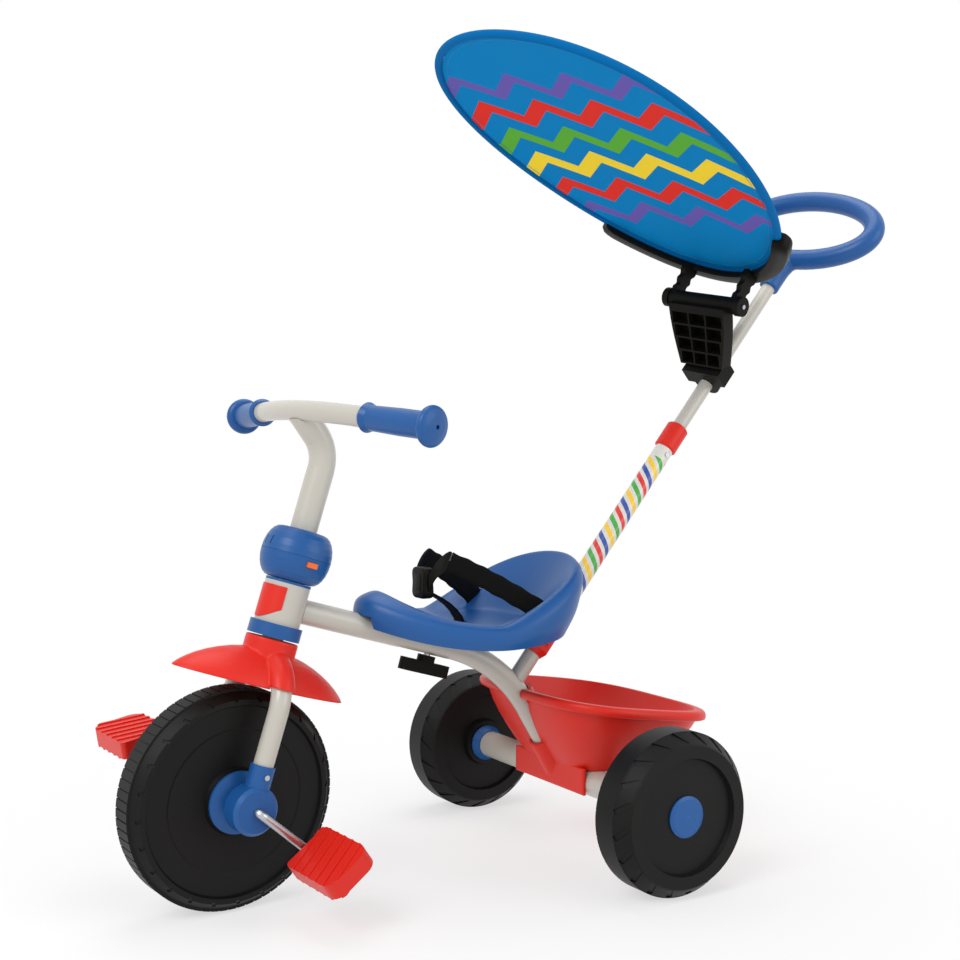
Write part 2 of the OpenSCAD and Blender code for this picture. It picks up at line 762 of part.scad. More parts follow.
// Basket
function basket_ring(rear, front, half, z, slope, share = 1) = [for (j = [0:basket_steps - 1])
    let (a = -j * 360 / basket_steps, reach = cos(a) >= 0 ? front - basket_mid : rear + basket_mid,
        x = basket_mid + share * reach * sign(cos(a)) * pow(abs(cos(a)), rim_square_share),
        y = share * half * sign(sin(a)) * pow(abs(sin(a)), rim_square_share))
    [x, y, z + slope * x]];
module basket_tub() skin([
    basket_ring(floor_rear, floor_front, floor_half, basket_floor, 0, hub_share),
    basket_ring(floor_rear, floor_front, floor_half, basket_floor, 0),
    basket_ring(basket_rear - basket_lip, basket_front - basket_lip, basket_half - basket_lip,
        basket_rim - lip_drop, rim_slope_share),
    basket_ring(basket_rear, basket_front, basket_half, basket_rim - lip_drop, rim_slope_share),
    basket_ring(basket_rear, basket_front, basket_half, basket_rim - lip_drop / 2, rim_slope_share),
    basket_ring(basket_rear - lip_drop / 2, basket_front - lip_drop / 2, basket_half - lip_drop / 2,
        basket_rim, rim_slope_share),
    basket_ring(basket_rear - basket_lip - basket_wall, basket_front - basket_lip - basket_wall,
        basket_half - basket_lip - basket_wall, basket_rim, rim_slope_share),
    basket_ring(floor_rear - basket_wall, floor_front - basket_wall, floor_half - basket_wall,
        basket_floor + basket_wall, 0),
    basket_ring(floor_rear, floor_front, floor_half, basket_floor + basket_wall, 0, hub_share)]);
module basket() color("red") at_axle() difference() {
    union() {
        basket_tub();
        rotate([0, 90 - lower_slope, 0]) translate([0, 0, channel_low]) linear_extrude(height = channel_len)
            difference() {
                circle(r = main_r + channel_gap + basket_wall);
                translate([channel_wrap, -2 * main_r]) square(4 * main_r);
            }
        rotate([0, 90 - lower_slope, 0]) translate([0, -boss_half, boss_low])
            cube([boss_deep, 2 * boss_half, boss_high - boss_low]);
        translate([axle_tube_r - axle_bed, -apron_half, apron_low])
            cube([apron_t, 2 * apron_half, basket_floor + basket_wall / 2 - apron_low]);
    }
    translate([0, 0, -rear_r]) main_shape(main_r + channel_gap);
    along_y() cylinder(r = axle_tube_r + fit_gap, h = track, center = true);
}

// Push pole
module pole_spigot() color("whitesmoke") difference() {
    at_pole() pin(spigot_r, 0, spigot_top);
    main_shape(main_r + fit_gap);
}
module pole_clip() color("red") at_pole() difference() {
    rotate_extrude() polygon([[0, clip_low], [clip_r - clip_bevel, clip_low], [clip_r,
        clip_low + 2 * clip_bevel],
        [clip_r, clip_high - clip_bevel / 2], [clip_r - clip_bevel / 2, clip_high], [0, clip_high]]);
    pin(spigot_r + fit_gap, clip_low - overrun, lower_low);
    pin(pole_r + fit_gap, lower_low - fit_gap, clip_high + overrun);
    translate([0, 0, release_at]) along_y() cylinder(r = release_r + run_gap, h = 2 * clip_r);
}
module pole_release_button() color("red") at_pole() translate([0, 0, release_at]) along_y()
    pin(release_r, pole_r + fit_gap + release_travel + fit_gap,
        pole_r + 2 * fit_gap + release_travel + release_len);
module lower_pole() color("whitesmoke") at_pole() translate([0, 0, lower_low])
    tube(pole_r, spigot_r + run_gap, collar_at + collar_h - collar_lip - fit_gap - lower_low);
module pole_collar() color("red") at_pole() difference() {
    rotate_extrude() polygon([[0, collar_at], [collar_r - collar_bevel, collar_at], [collar_r,
        collar_at + collar_bevel],
        [collar_r, collar_at + collar_h - collar_bevel], [collar_r - collar_bevel, collar_at + collar_h],
        [0, collar_at + collar_h]]);
    pin(pole_r + fit_gap, collar_at - overrun, collar_at + collar_h - collar_lip);
    pin(upper_r + run_gap, collar_at, collar_at + collar_h + overrun);
}
module collar_screw() color("silver") at_pole() translate([0, 0, collar_at - collar_screw_drop]) along_y()
    pin(screw_r, pole_r + fit_gap / 2, pole_r + fit_gap / 2 + screw_t);
module upper_pole() color("whitesmoke") at_upper() difference() {
    union() {
        pin(upper_r, upper_low, boot_at + boot_flare);
        pin(spigot_r - run_gap / 2, upper_low, upper_low + slider_h);
    }
    pin(upper_r - tube_wall, upper_low - overrun, boot_at + boot_flare + overrun);
}
function loop_point(a) = [0, loop_half_w * sin(a), loop_at - loop_half_len * cos(a)];
function boot_ring(z, half_w, half_t) = [for (j = [0:boot_sides - 1]) let (a = -j * 360 / boot_sides)
    [half_t * cos(a), half_w * sin(a), z]];
module push_handle() color("royalblue") at_upper() difference() {
    union() {
        skin_loop([for (i = [0:loop_steps - 1]) let (a = i * 360 / loop_steps,
            out = unit([0, loop_half_len * sin(a), -loop_half_w * cos(a)]))
            [for (j = [0:loop_sides - 1]) let (b = j * 360 / loop_sides)
                loop_point(a) + loop_r * (cos(b) * out + sin(b) * [1, 0, 0])]]);
        skin([boot_ring(boot_at, boot_r, boot_r), boot_ring(boot_at + boot_flare, boot_r, boot_r),
            boot_ring(boot_at + boot_len - loop_r, boot_r + collar_bevel, boot_r - fit_gap),
            boot_ring(loop_at - loop_half_len, 2 * boot_r + collar_bevel, loop_r - fit_gap)]);
    }
    pin(upper_r + run_gap, boot_at - overrun, boot_at + boot_flare + fit_gap);
}

// Canopy
function hoop_point(a, inset) = [(hoop_half_len - inset) * (cos(a) - hoop_nose_share * cos(2 * a)),
    (hoop_half_w - inset) * (sin(a) + hoop_egg_share * sin(2 * a)), 0];
function hoop_out(a) = let (t = hoop_point(a + 1, 0) - hoop_point(a - 1, 0)) unit([t[1], -t[0], 0]);
module canopy_hoop() color("dodgerblue") at_canopy() skin_loop([for (i = [0:hoop_steps - 1])
    let (a = i * 360 / hoop_steps) [for (j = [0:hoop_sides - 1]) let (b = j * 360 / hoop_sides)
        hoop_point(a, 0) + hoop_r * (cos(b) * hoop_out(a) + [0, 0, sin(b)])]]);
function cloth_ring(share, z) = [for (i = [0:hoop_steps - 1])
    share * hoop_point(-i * 360 / hoop_steps, hoop_r + fit_gap) + [0, 0,
        z + cloth_dome * (1 - share * share)]];
module canopy_cloth() color("dodgerblue") at_canopy() skin(concat(
    [for (k = cloth_shares) cloth_ring(k, -cloth_t / 2)],
    [for (i = [len(cloth_shares) - 1:-1:0]) cloth_ring(cloth_shares[i], cloth_t / 2)]));
cradle_slot = hoop_r + fit_gap;
cradle_top = cradle_slot + cradle_wall;
cradle_foot = cradle_top - cradle_tall;
cradle_section = [[-hoop_r, cradle_top], [-hoop_r, cradle_slot], [cradle_slot, cradle_slot],
    [cradle_slot, -cradle_slot], [-hoop_r, -cradle_slot], [-hoop_r, cradle_foot],
    [cradle_deep - hoop_r, cradle_foot], [cradle_deep - hoop_r, cradle_top]];
cradle_ends = [[0, 1, 2], [0, 2, 7], [2, 3, 6], [2, 6, 7], [3, 4, 5], [3, 5, 6]];
hinge_x = (hinge_ahead - canopy_ahead) * cos(canopy_slope) - (hinge_at - canopy_at) * sin(canopy_slope);
hinge_z = (hinge_ahead - canopy_ahead) * sin(canopy_slope) + (hinge_at - canopy_at) * cos(canopy_slope);
leg_y = bracket_half + fit_gap;
module canopy_cradle() color("black") at_canopy() difference() {
    union() {
        skin([for (i = [0:cradle_steps])
            let (a = cradle_from_angle + i * (360 - 2 * cradle_from_angle) / cradle_steps)
            [for (q = cradle_section) hoop_point(a, 0) + q[0] * hoop_out(a) + [0, 0, q[1]]]],
            cradle_ends);
        both_sides() translate([0, leg_y + cradle_leg_t, 0]) rotate([90, 0, 0])
            linear_extrude(height = cradle_leg_t) cradle_leg();
    }
    translate([hinge_x, 0, hinge_z]) along_y() cylinder(r = hinge_r + run_gap, h = track, center = true);
}
module cradle_leg() {
    translate([hinge_x, hinge_z]) circle(r = cradle_leg_r);
    polygon([[hinge_x - cradle_leg_r, hinge_z], [hinge_x + cradle_leg_r, hinge_z],
        [hinge_x + cradle_leg_r - cradle_lean, cradle_foot + cradle_wall],
        [hinge_x - cradle_leg_r - cradle_lean, cradle_foot + cradle_wall]]);
}
module hinge_pins() color("silver") at_upper() translate([hinge_ahead, 0, hinge_at]) both_sides() along_y()
    pin(hinge_r, bracket_half - 2 * ear_r, leg_y + cradle_leg_t + fit_gap + hinge_knob_t + screw_t);
module hinge_knobs() color("black") at_upper() translate([hinge_ahead, 0, hinge_at]) both_sides() along_y()
    translate([0, 0, leg_y + cradle_leg_t + fit_gap]) difference() {
        cylinder(r = hinge_knob_r, h = hinge_knob_t);
        translate([0, 0, -overrun]) cylinder(r = hinge_r + run_gap, h = hinge_knob_t + 2 * overrun);
    }
// The bracket's panel runs from the clamp to the hinge
panel_foot = [clamp_r, clamp_low + clamp_h - panel_wall];
panel_rise = atan2(hinge_at - panel_foot[1], hinge_ahead - panel_foot[0]);
panel_len = norm([hinge_ahead - panel_foot[0], hinge_at - panel_foot[1]]);
function panel_half(k) = panel_low_half + (bracket_half - panel_low_half) * sin(90 * k);
module panel_outline(inset) polygon(concat(
    [for (k = [0:0.125:1]) [k * (panel_len - inset), panel_half(k) - inset]],
    [for (k = [1:-0.125:0]) [k * (panel_len - inset), inset - panel_half(k)]]));
module canopy_bracket() color("black") at_upper() difference() {
    union() {
        translate([panel_foot[0], 0, panel_foot[1]]) rotate([0, -panel_rise, 0]) difference() {
            translate([0, 0, -panel_t]) linear_extrude(height = panel_t) panel_outline(0);
            pockets();
        }
        translate([hinge_ahead, 0, hinge_at]) along_y()
            cylinder(r = ear_r, h = 2 * bracket_half, center = true);
        translate([0, 0, clamp_low]) cylinder(r = clamp_r, h = clamp_h);
        translate([0, -clamp_half, clamp_low]) cube([clamp_front, 2 * clamp_half, clamp_h]);
    }
    pin(upper_r + run_gap, clamp_low - overrun, clamp_low + clamp_h + overrun);
    translate([hinge_ahead, 0, hinge_at]) along_y()
        cylinder(r = hinge_r + run_gap, h = track, center = true);
}
// Rows and columns of square pockets in the panel's front
module pockets() {
    row = (panel_len - ear_r) / pocket_rows;
    for (i = [0:pocket_rows - 1]) {
        col = 2 * (panel_half(i / pocket_rows) - panel_wall) / pocket_cols;
        for (j = [0:pocket_cols - 1])
            translate([i * row + panel_wall, (j - pocket_cols / 2) * col + panel_wall / 2,
                -panel_t - overrun])
                cube([row - panel_wall, col - panel_wall, panel_t - panel_back + overrun]);
    }
}

// Fork and front wheel
module fork_shape(r) {
    both_sides() translate([0, leg_side, fork_low]) cylinder(r = r, h = leg_top - fork_low);
    translate([0, 0, leg_top]) rotate([90, 0, 90]) rotate_extrude(angle = 180)
        translate([leg_side, 0]) circle(r = r);
}
module fork() color("whitesmoke") at_fork() difference() {
    union() {
        fork_shape(leg_r);
        pin(steerer_r, leg_top + leg_side, steerer_top);
    }
    fork_shape(leg_r - tube_wall);
    both_sides() translate([0, leg_side, 0]) pin(leg_r - tube_wall, 0, fork_low + overrun);
    pin(steerer_r - tube_wall, leg_top + leg_side, steerer_top + overrun);
}
function guard_ring(share, drop) = [for (j = [0:seat_steps - 1]) let (a = -j * 360 / seat_steps)
    [share * guard_half_len * cos(a), share * guard_half_w * sin(a) * pow(abs(sin(a)), guard_point_share),
     guard_edge - drop + guard_rise * pow(1 - share * share, guard_curve_share)]];
module mudguard() color("red") at_fork() difference() {
    union() {
        skin([for (s = guard_shares) guard_ring(s, 0)]);
        intersection() {
            fork_shape(guard_tunnel_r);
            translate([0, 0, guard_tunnel_low]) cylinder(r = 2 * leg_side, h = leg_side);
        }
        pin(guard_neck_r, guard_neck_low, guard_neck_top);
    }
    skin([for (s = guard_shares) guard_ring(s, guard_wall)]);
    fork_shape(leg_r + fit_gap);
    pin(steerer_r + fit_gap, leg_top, guard_neck_top + overrun);
}
module fork_end(left) color("royalblue") at_fork() side(left) difference() {
    union() {
        translate([0, leg_side, 0]) pin(sleeve_r, fork_low - end_bevel, sleeve_top);
        along_y() rotate_extrude() polygon([[0, end_in], [fork_end_r - end_bevel, end_in],
            [fork_end_r, end_in + end_bevel], [fork_end_r, end_out - end_bevel],
            [fork_end_r - end_bevel, end_out], [0, end_out]]);
    }
    translate([0, leg_side, 0]) pin(leg_r + fit_gap, fork_low - fit_gap, sleeve_top + overrun);
    along_y() pin(rod_r + run_gap, end_in - overrun, end_out + overrun);
}
module fork_end_left() fork_end(true);
module fork_end_right() fork_end(false);
module fork_end_screws() color("silver") at_fork() both_sides() translate([0, 0, end_screw_at]) along_y()
    pin(end_screw_r, leg_side + sleeve_r + fit_gap / 2, leg_side + sleeve_r + fit_gap / 2 + end_screw_t);
module front_wheel() color("dimgray") at_fork() along_y() difference() {
    union() {
        rotate_extrude() polygon([[0, -front_half], [front_hub_r, -front_half],
            [front_hub_r + front_step, front_disc_in - front_half],
            [front_disc_r, front_disc_in - front_half], [front_disc_r + front_step,
                2 * front_step - front_half],
            [front_bead_r, 2 * front_step - front_half], [front_bead_r + front_step, -front_half],
            [front_r - front_bevel, -front_half], [front_r - tread_base, -tread_half],
            [front_r - tread_base, tread_half], [front_r - front_bevel, front_half],
            [front_bead_r + front_step, front_half], [front_bead_r, front_half - 2 * front_step],
            [front_disc_r + front_step, front_half - 2 * front_step], [front_disc_r,
                front_half - front_disc_in],
            [front_hub_r + front_step, front_half - front_disc_in], [front_hub_r, front_half], [0,
                front_half]]);
        linear_extrude(height = 2 * tread_half, center = true) tread_outline();
    }
    cylinder(r = rod_r + run_gap, h = 4 * front_half, center = true);
    hollow([[front_hub_r - wheel_wall, front_half - wheel_wall],
        [front_hub_r, front_half - front_disc_in - wheel_wall],
        [front_disc_r + front_step, front_half - front_disc_in - wheel_wall],
        [front_disc_r + 2 * front_step, front_half - 2 * front_step - wheel_wall],
        [front_bead_r + front_step, front_half - 2 * front_step - wheel_wall],
        [front_bead_r + 2 * front_step, front_half - wheel_wall],
        [front_r - front_bevel - front_step, front_half - wheel_wall],
        [front_r - tread_base - wheel_wall, tread_half - front_step]]);
    for (i = [0:shoulder_count - 1], up = [-1, 1]) rotate([0, 0, (i + up / 4) * 360 / shoulder_count])
        translate([front_r - front_bevel, 0, up * front_half]) rotate([0, -up * 45,
            0]) rotate([shoulder_slant, 0, 0])
            cube([2 * shoulder_depth, shoulder_w, shoulder_len], center = true);
}
// The air space of a blow moulded wheel, from half of its outline
module hollow(half) {
    back = [for (i = [len(half) - 1:-1:0]) [half[i][0], -half[i][1]]];
    rotate_extrude() polygon(concat([[0, half[0][1]]], half, back, [[0, -half[0][1]]]));
}
module tread_outline() {
    step = 360 / tread_count;
    groove = step * tread_groove_share;
    low = front_r - tread_depth;
    polygon([for (i = [0:tread_count - 1]) each [
        low * [cos(i * step), sin(i * step)], low * [cos(i * step + groove), sin(i * step + groove)],
        front_r * [cos(i * step + groove), sin(i * step + groove)],
        front_r * [cos((i + 1) * step), sin((i + 1) * step)]]]);
}
module hub_flange(left) color("mediumblue") at_fork() side(left) along_y() difference() {
    rotate_extrude() polygon([[0, front_half + fit_gap], [flange_r, front_half + fit_gap],
        [flange_r, front_half + flange_rim_t], [flange_neck_r + flange_rim_t, end_in - 2 * flange_rim_t],
        [flange_neck_r, end_in - fit_gap], [0, end_in - fit_gap]]);
    pin(rod_r + run_gap, 0, end_in + overrun);
}
module hub_flange_left() hub_flange(true);
module hub_flange_right() hub_flange(false);

// Cranks and pedals: one bent rod, and a pedal on each spindle
module crank_side_rod() {
    along_y() pin(rod_r, 0, crank_side - crank_bend_r);
    translate([crank_bend_r, crank_side - crank_bend_r, 0]) elbow(180);
    translate([crank_bend_r, crank_side, 0]) rotate([0, 90, 0]) cylinder(r = rod_r,
        h = crank_len - 2 * crank_bend_r);
    translate([crank_len - crank_bend_r, crank_side + crank_bend_r, 0]) elbow(0);
    translate([crank_len, 0, 0]) along_y() pin(rod_r, crank_side + crank_bend_r, spindle_end);
}
module elbow(turn) rotate([0, 0, turn - 90]) rotate_extrude(angle = 90) translate([crank_bend_r,
    0]) circle(r = rod_r);
module crank_axle() color("silver") at_fork() {
    rotate([0, -crank_angle, 0]) crank_side_rod();
    mirror([0, 1, 0]) rotate([0, 180 - crank_angle, 0]) crank_side_rod();
}
module pedal(left, turn, tip) color("red") at_fork() side(left) rotate([0, -turn, 0]) translate([crank_len,
    pedal_in, 0])
    rotate([0, turn - tip, 0]) difference() {
        translate([0, pedal_len / 2, 0]) {
            linear_extrude(height = pedal_t, center = true) pedal_outline();
            intersection() {
                linear_extrude(height = pedal_t + 2 * rib_h, center = true) pedal_outline();
                linear_extrude(height = pedal_t + 2 * rib_h, center = true) pedal_ribs();
            }
        }
        along_y() pin(rod_r + run_gap, -overrun, spindle_end - pedal_in + fit_gap);
    }
module pedal_outline() union() {
    w = pedal_w / 2;
    l = pedal_len / 2;
    polygon([[-w, pedal_corner_in - l], [pedal_corner_in - w, -l], [w - pedal_corner_in, -l], [w,
        pedal_corner_in - l],
        [w, l - pedal_corner_out], [w - pedal_corner_out, l], [pedal_corner_out - w, l], [-w,
            l - pedal_corner_out]]);
    for (x = [-1, 1]) {
        translate([x * (w - pedal_corner_out), l - pedal_corner_out]) circle(r = pedal_corner_out);
        translate([x * (w - pedal_corner_in), pedal_corner_in - l]) circle(r = pedal_corner_in);
    }
}
module pedal_ribs() {
    step = pedal_len / rib_count;
    for (i = [0:rib_count - 1]) translate([0, (2 * i + 1) * step / 2 - pedal_len / 2])
        polygon([[-pedal_w, -rib_slant - rib_w / 2], [pedal_w, rib_slant - rib_w / 2],
            [pedal_w, rib_slant + rib_w / 2], [-pedal_w, rib_w / 2 - rib_slant]]);
}
module pedal_left() pedal(true, crank_angle, pedal_left_angle);
module pedal_right() pedal(false, crank_angle + 180, pedal_right_angle);

// Steering cover, stem, handlebar
function barrel(r, end_r, low, high) = let (mid = (low + high) / 2, half = (high - low) / 2)
    [for (i = [-6:6]) let (a = i * 15) [end_r + (r - end_r) * pow(cos(a), barrel_share),
        mid + half * sin(a)]];
module cover_shape() difference() {
    rotate_extrude() polygon(concat([[0, cover_low]], barrel(cover_r, cover_end_r, cover_low, cover_high),
        [[0, cover_high]]));
    rotate_extrude() polygon(concat([[0, cover_low + cover_wall]],
        barrel(cover_r - cover_wall, cover_end_r - cover_wall, cover_low + cover_wall,
            cover_high - cover_wall),
        [[0, cover_high - cover_wall]]));
    pin(steerer_r + fit_gap, cover_low - overrun, cover_split);
    pin(stem_r + fit_gap, cover_split, cover_high + overrun);
}
module cover_upper() color("royalblue") at_fork() difference() {
    cover_shape();
    pin(2 * cover_r, cover_low - overrun, cover_split + fit_gap / 2);
    both_sides() translate([0, cover_slot_gap, cover_split + cover_slot_gap])
        cube([cover_r, cover_slot_w, cover_slot_h]);
}
module cover_lower() color("royalblue") at_fork() difference() {
    cover_shape();
    pin(2 * cover_r, cover_split - fit_gap / 2, cover_high + overrun);
    button_hole(fit_gap);
}
module button_hole(gap) translate([0, 0, cover_split - button_drop]) along_y()
    translate([0, 0, cover_r - button_deep]) linear_extrude(height = 2 * button_deep)
        square([button_w + 2 * gap, button_h + 2 * gap], center = true);
module release_button() color("orangered") at_fork() translate([0, 0, cover_split - button_drop]) along_y() {
    translate([0, 0, cover_r - button_deep]) linear_extrude(height = button_deep + button_proud)
        square([button_w, button_h], center = true);
}
module stem_shape(r, low, reach) {
    pin(r, low, stem_rise + bend_lap);
    translate([stem_bend_r, 0, stem_rise]) rotate([90, 0, 0]) rotate([0, 0, 180 - stem_bend])
        rotate_extrude(angle = stem_bend) translate([stem_bend_r, 0]) circle(r = r - bend_step);
    translate([stem_bend_r, 0, stem_rise]) rotate([0, stem_bend, 0]) translate([-stem_bend_r, 0, -bend_lap])
        cylinder(r = r, h = reach + bend_lap);
}
module stem() color("whitesmoke") at_fork() difference() {
    stem_shape(stem_r, stem_low, stem_reach - bar_r / 4);
    stem_shape(steerer_r + fit_gap, stem_low - overrun, stem_reach - 2 * bar_r);
    bar_shape(bar_r + fit_gap);
}
module bar_shape(r) translate([stem_top_u - bar_bow_r, 0, stem_top_w]) {
    rotate([0, 0, -bar_bow]) rotate_extrude(angle = 2 * bar_bow) translate([bar_bow_r,
        0]) circle(r = r - bend_step);
    both_sides() rotate([0, 0, bar_bow]) translate([bar_bow_r, -bend_lap, 0]) along_y()
        cylinder(r = r, h = bar_end + bend_lap);
}
module handlebar() color("whitesmoke") at_fork() difference() {
    bar_shape(bar_r);
    bar_shape(bar_r - tube_wall);
    both_sides() translate([stem_top_u - bar_bow_r, 0, stem_top_w]) rotate([0, 0, bar_bow])
        translate([bar_bow_r, bar_end - overrun, 0]) along_y() cylinder(r = bar_r - tube_wall,
            h = 2 * overrun);
}
module at_grip() translate([stem_top_u - bar_bow_r, 0, stem_top_w]) rotate([0, 0, bar_bow])
    translate([bar_bow_r, bar_end + grip_cap, 0]) along_y() children();
module grip(left) color("royalblue") at_fork() side(left) at_grip() difference() {
    rotate_extrude() polygon(concat([[0, -grip_len], [grip_flange_r - grip_wall, -grip_len],
        [grip_flange_r, grip_flange_t / 2 - grip_len], [grip_flange_r - grip_wall / 2,
            grip_flange_t - grip_len],
        [grip_r - grip_wall / 3, grip_flange_t + grip_wall - grip_len], [grip_r, -grip_len / 2],
        [grip_r, -grip_knob_t - 2 * grip_wall]],
        [for (a = [-90:15:60]) [grip_r + (grip_knob_r - grip_r) * cos(a),
            grip_knob_t * ((1 + sin(a)) / (1 + sin(60)) - 1) - grip_dome]],
        [[grip_r - grip_wall, -grip_dome / 3], [2 * grip_hole_r, 0], [0, 0]]));
    pin(bar_r + fit_gap, -grip_len - overrun, fit_gap - grip_cap);
    pin(grip_hole_r, -grip_hole_len, overrun);
}
module grip_left() grip(true);
module grip_right() grip(false);

// Rear wheels
module rear_wheel(left) color("dimgray") side(left) at_axle() translate([0, track / 2,
    0]) along_y() difference() {
    rotate_extrude() polygon([[0, -rear_half], [rear_hub_r, -rear_half], [rear_hub_r + front_step,
        rear_disc_in - rear_half],
        [rear_disc_r, rear_disc_in - rear_half], [rear_disc_r + front_step, rear_face_in - rear_half],
        [rear_bead_r - front_step, rear_face_in - rear_half], [rear_bead_r,
            rear_face_in + front_step - rear_half],
        [rear_r - front_step, -rear_crown - front_step], [rear_r, -rear_crown], [rear_r, rear_crown],
        [rear_r - front_step, rear_crown + front_step], [rear_bead_r, rear_half - rear_face_in - front_step],
        [rear_bead_r - front_step, rear_half - rear_face_in], [rear_disc_r + front_step,
            rear_half - rear_face_in],
        [rear_disc_r, rear_half - rear_disc_in], [0, rear_half - rear_disc_in]]);
    cylinder(r = axle_r + run_gap, h = 4 * rear_half, center = true);
    pin(rear_recess_r, rear_half - rear_disc_in - rear_recess, rear_half);
    difference() {
        hollow([[rear_disc_r, rear_half - rear_disc_in - wheel_wall],
            [rear_disc_r + wheel_wall, rear_half - rear_face_in - wheel_wall],
            [rear_bead_r - 2 * wheel_wall, rear_half - rear_face_in - wheel_wall],
            [rear_r - 2 * wheel_wall, rear_crown - front_step], [rear_r - wheel_wall,
                rear_crown - 2 * front_step]]);
        pin(rear_recess_r + wheel_wall, rear_half - rear_disc_in - rear_recess - wheel_wall, rear_half);
    }
    for (i = [0:rear_groove_count - 1], up = [-1, 1]) rotate([0, 0, (i + up / 4) * 360 / rear_groove_count])
        translate([(rear_r + rear_bead_r) / 2, 0, up * (rear_crown + rear_half - rear_face_in) / 2])
            rotate([0, up * rear_bevel_turn, 0]) rotate([rear_groove_slant, 0, 0])
                cube([rear_groove_depth, rear_groove_w, rear_groove_len], center = true);
}
module rear_wheel_left() rear_wheel(true);
module rear_wheel_right() rear_wheel(false);
module hub_cap(left) color("mediumblue") side(left) at_axle()
    translate([0, track / 2 + rear_half - rear_disc_in + fit_gap, 0]) along_y() {
        rotate_extrude() polygon([[0, 0], [cap_r, 0], [cap_r, cap_t / 2], [cap_r - cap_t, cap_t], [0,
            cap_t + cap_dome]]);
        translate([0, 0, -cap_skirt]) tube(rear_recess_r - run_gap, rear_recess_r - cap_skirt_t, cap_skirt);
    }
module hub_cap_left() hub_cap(true);
module hub_cap_right() hub_cap(false);

head_tube();
head_badge();
main_tube();
lower_tube();
pole_spigot();
rear_axle_tube();
rear_axle_rod();
axle_bush_left();
axle_bush_right();
axle_nuts();
upper_steering_bush();
lower_steering_ring();
pole_clip();
pole_release_button();
lower_pole();
pole_collar();
collar_screw();
basket();
seat_shell();
seat_bolt();
seat_knob();
lap_strap_left();
lap_strap_right();
crotch_strap();
buckle_socket();
buckle_tongues();
upper_pole();
push_handle();
canopy_bracket();
hinge_pins();
hinge_knobs();
canopy_cradle();
canopy_hoop();
canopy_cloth();
fork();
mudguard();
fork_end_left();
fork_end_right();
fork_end_screws();
cover_upper();
cover_lower();
release_button();
stem();
handlebar();
grip_left();
grip_right();
front_wheel();
hub_flange_left();
hub_flange_right();
crank_axle();
pedal_left();
pedal_right();
rear_wheel_left();
rear_wheel_right();
hub_cap_left();
hub_cap_right();
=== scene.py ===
# %% [markdown]
# # A toddler's push-along trike
# The exact solids arrive from the construction step. Soft and drawn shapes are built again here with finer
# skins: the bucket seat, basket, mudguard, handle, canopy and harness. Every other solid keeps its mesh and
# gets a better material.

# %% Load the frame
import math
import bpy
import bmesh
from mathutils import Matrix, Vector


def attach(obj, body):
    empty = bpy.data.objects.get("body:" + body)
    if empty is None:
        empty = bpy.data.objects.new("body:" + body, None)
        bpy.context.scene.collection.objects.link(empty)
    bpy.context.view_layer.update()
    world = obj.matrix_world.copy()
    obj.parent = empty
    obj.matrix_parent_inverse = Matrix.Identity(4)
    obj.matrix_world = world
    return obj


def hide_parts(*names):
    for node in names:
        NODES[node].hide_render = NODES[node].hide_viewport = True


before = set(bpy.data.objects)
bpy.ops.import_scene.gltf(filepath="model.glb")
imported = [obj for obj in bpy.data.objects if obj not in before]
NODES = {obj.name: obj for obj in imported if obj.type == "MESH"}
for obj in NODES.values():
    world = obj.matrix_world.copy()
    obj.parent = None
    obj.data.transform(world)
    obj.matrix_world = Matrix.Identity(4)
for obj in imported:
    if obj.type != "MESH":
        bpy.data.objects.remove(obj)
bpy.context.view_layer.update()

# %% [markdown]
# ## Places
# The trike is a chain of frames: head tube, fork, seat bolt, axle, pole, canopy. Sizes are in millimetres
# and angles in degrees, as on a drawing. `UNIT` brings sizes to metres when a mesh is made.

# %% Frames of the parts
UNIT = Matrix.Scale(0.001, 4)


def sin(a):
    return math.sin(math.radians(a))


def cos(a):
    return math.cos(math.radians(a))


def turn(axis, angle):
    return Matrix.Rotation(math.radians(angle), 4, axis)


def shift(x, y, z):
    return Matrix.Translation((x, y, z))


TILT, SLOPE, STEER, LEAN = 17.7, 16.4, 6, 39.4
SWIVEL, CANOPY_TILT = 16, 14.8
FRONT_R, REAR_R, TREAD_HALF, WHEELBASE = 125, 95.8, 14.5, 455.4
JOIN_UP, MAIN_RUN, BOLT_RUN, FOOT_RUN, BEND_R = 220, 308, 195, 36, 200
CANOPY_OUT, CANOPY_UP = 364, 554
BEND_STEPS = 24
along = Vector((cos(SLOPE), 0, sin(SLOPE)))
across = Vector((-sin(SLOPE), 0, cos(SLOPE)))
wheel_lean = sin(TILT) * sin(STEER)
front_z = FRONT_R * math.sqrt(1 - wheel_lean * wheel_lean) + TREAD_HALF * wheel_lean
FORK = shift(WHEELBASE, 0, front_z) @ turn("Y", -TILT) @ turn("Z", STEER)
join = Vector((WHEELBASE - JOIN_UP * sin(TILT), 0, front_z + JOIN_UP * cos(TILT)))
corner = join - MAIN_RUN * along
BOLT = Matrix.Translation(join - BOLT_RUN * along)
AXLE = shift(0, 0, REAR_R)
LOW_SLOPE = math.degrees(math.atan2(corner.z - REAR_R, corner.x))
along_low = Vector((cos(LOW_SLOPE), 0, sin(LOW_SLOPE)))
FOOT = corner - FOOT_RUN * along_low
POLE = Matrix.Translation(FOOT) @ turn("Y", -LEAN)
UPPER = POLE @ turn("Z", SWIVEL)
CANOPY = UPPER @ shift(CANOPY_OUT, 0, CANOPY_UP) @ turn("Y", CANOPY_TILT)
bend_turn = LOW_SLOPE - SLOPE
bend_hub = corner + BEND_R * math.tan(math.radians(bend_turn / 2)) * along - BEND_R * across
BEND = []
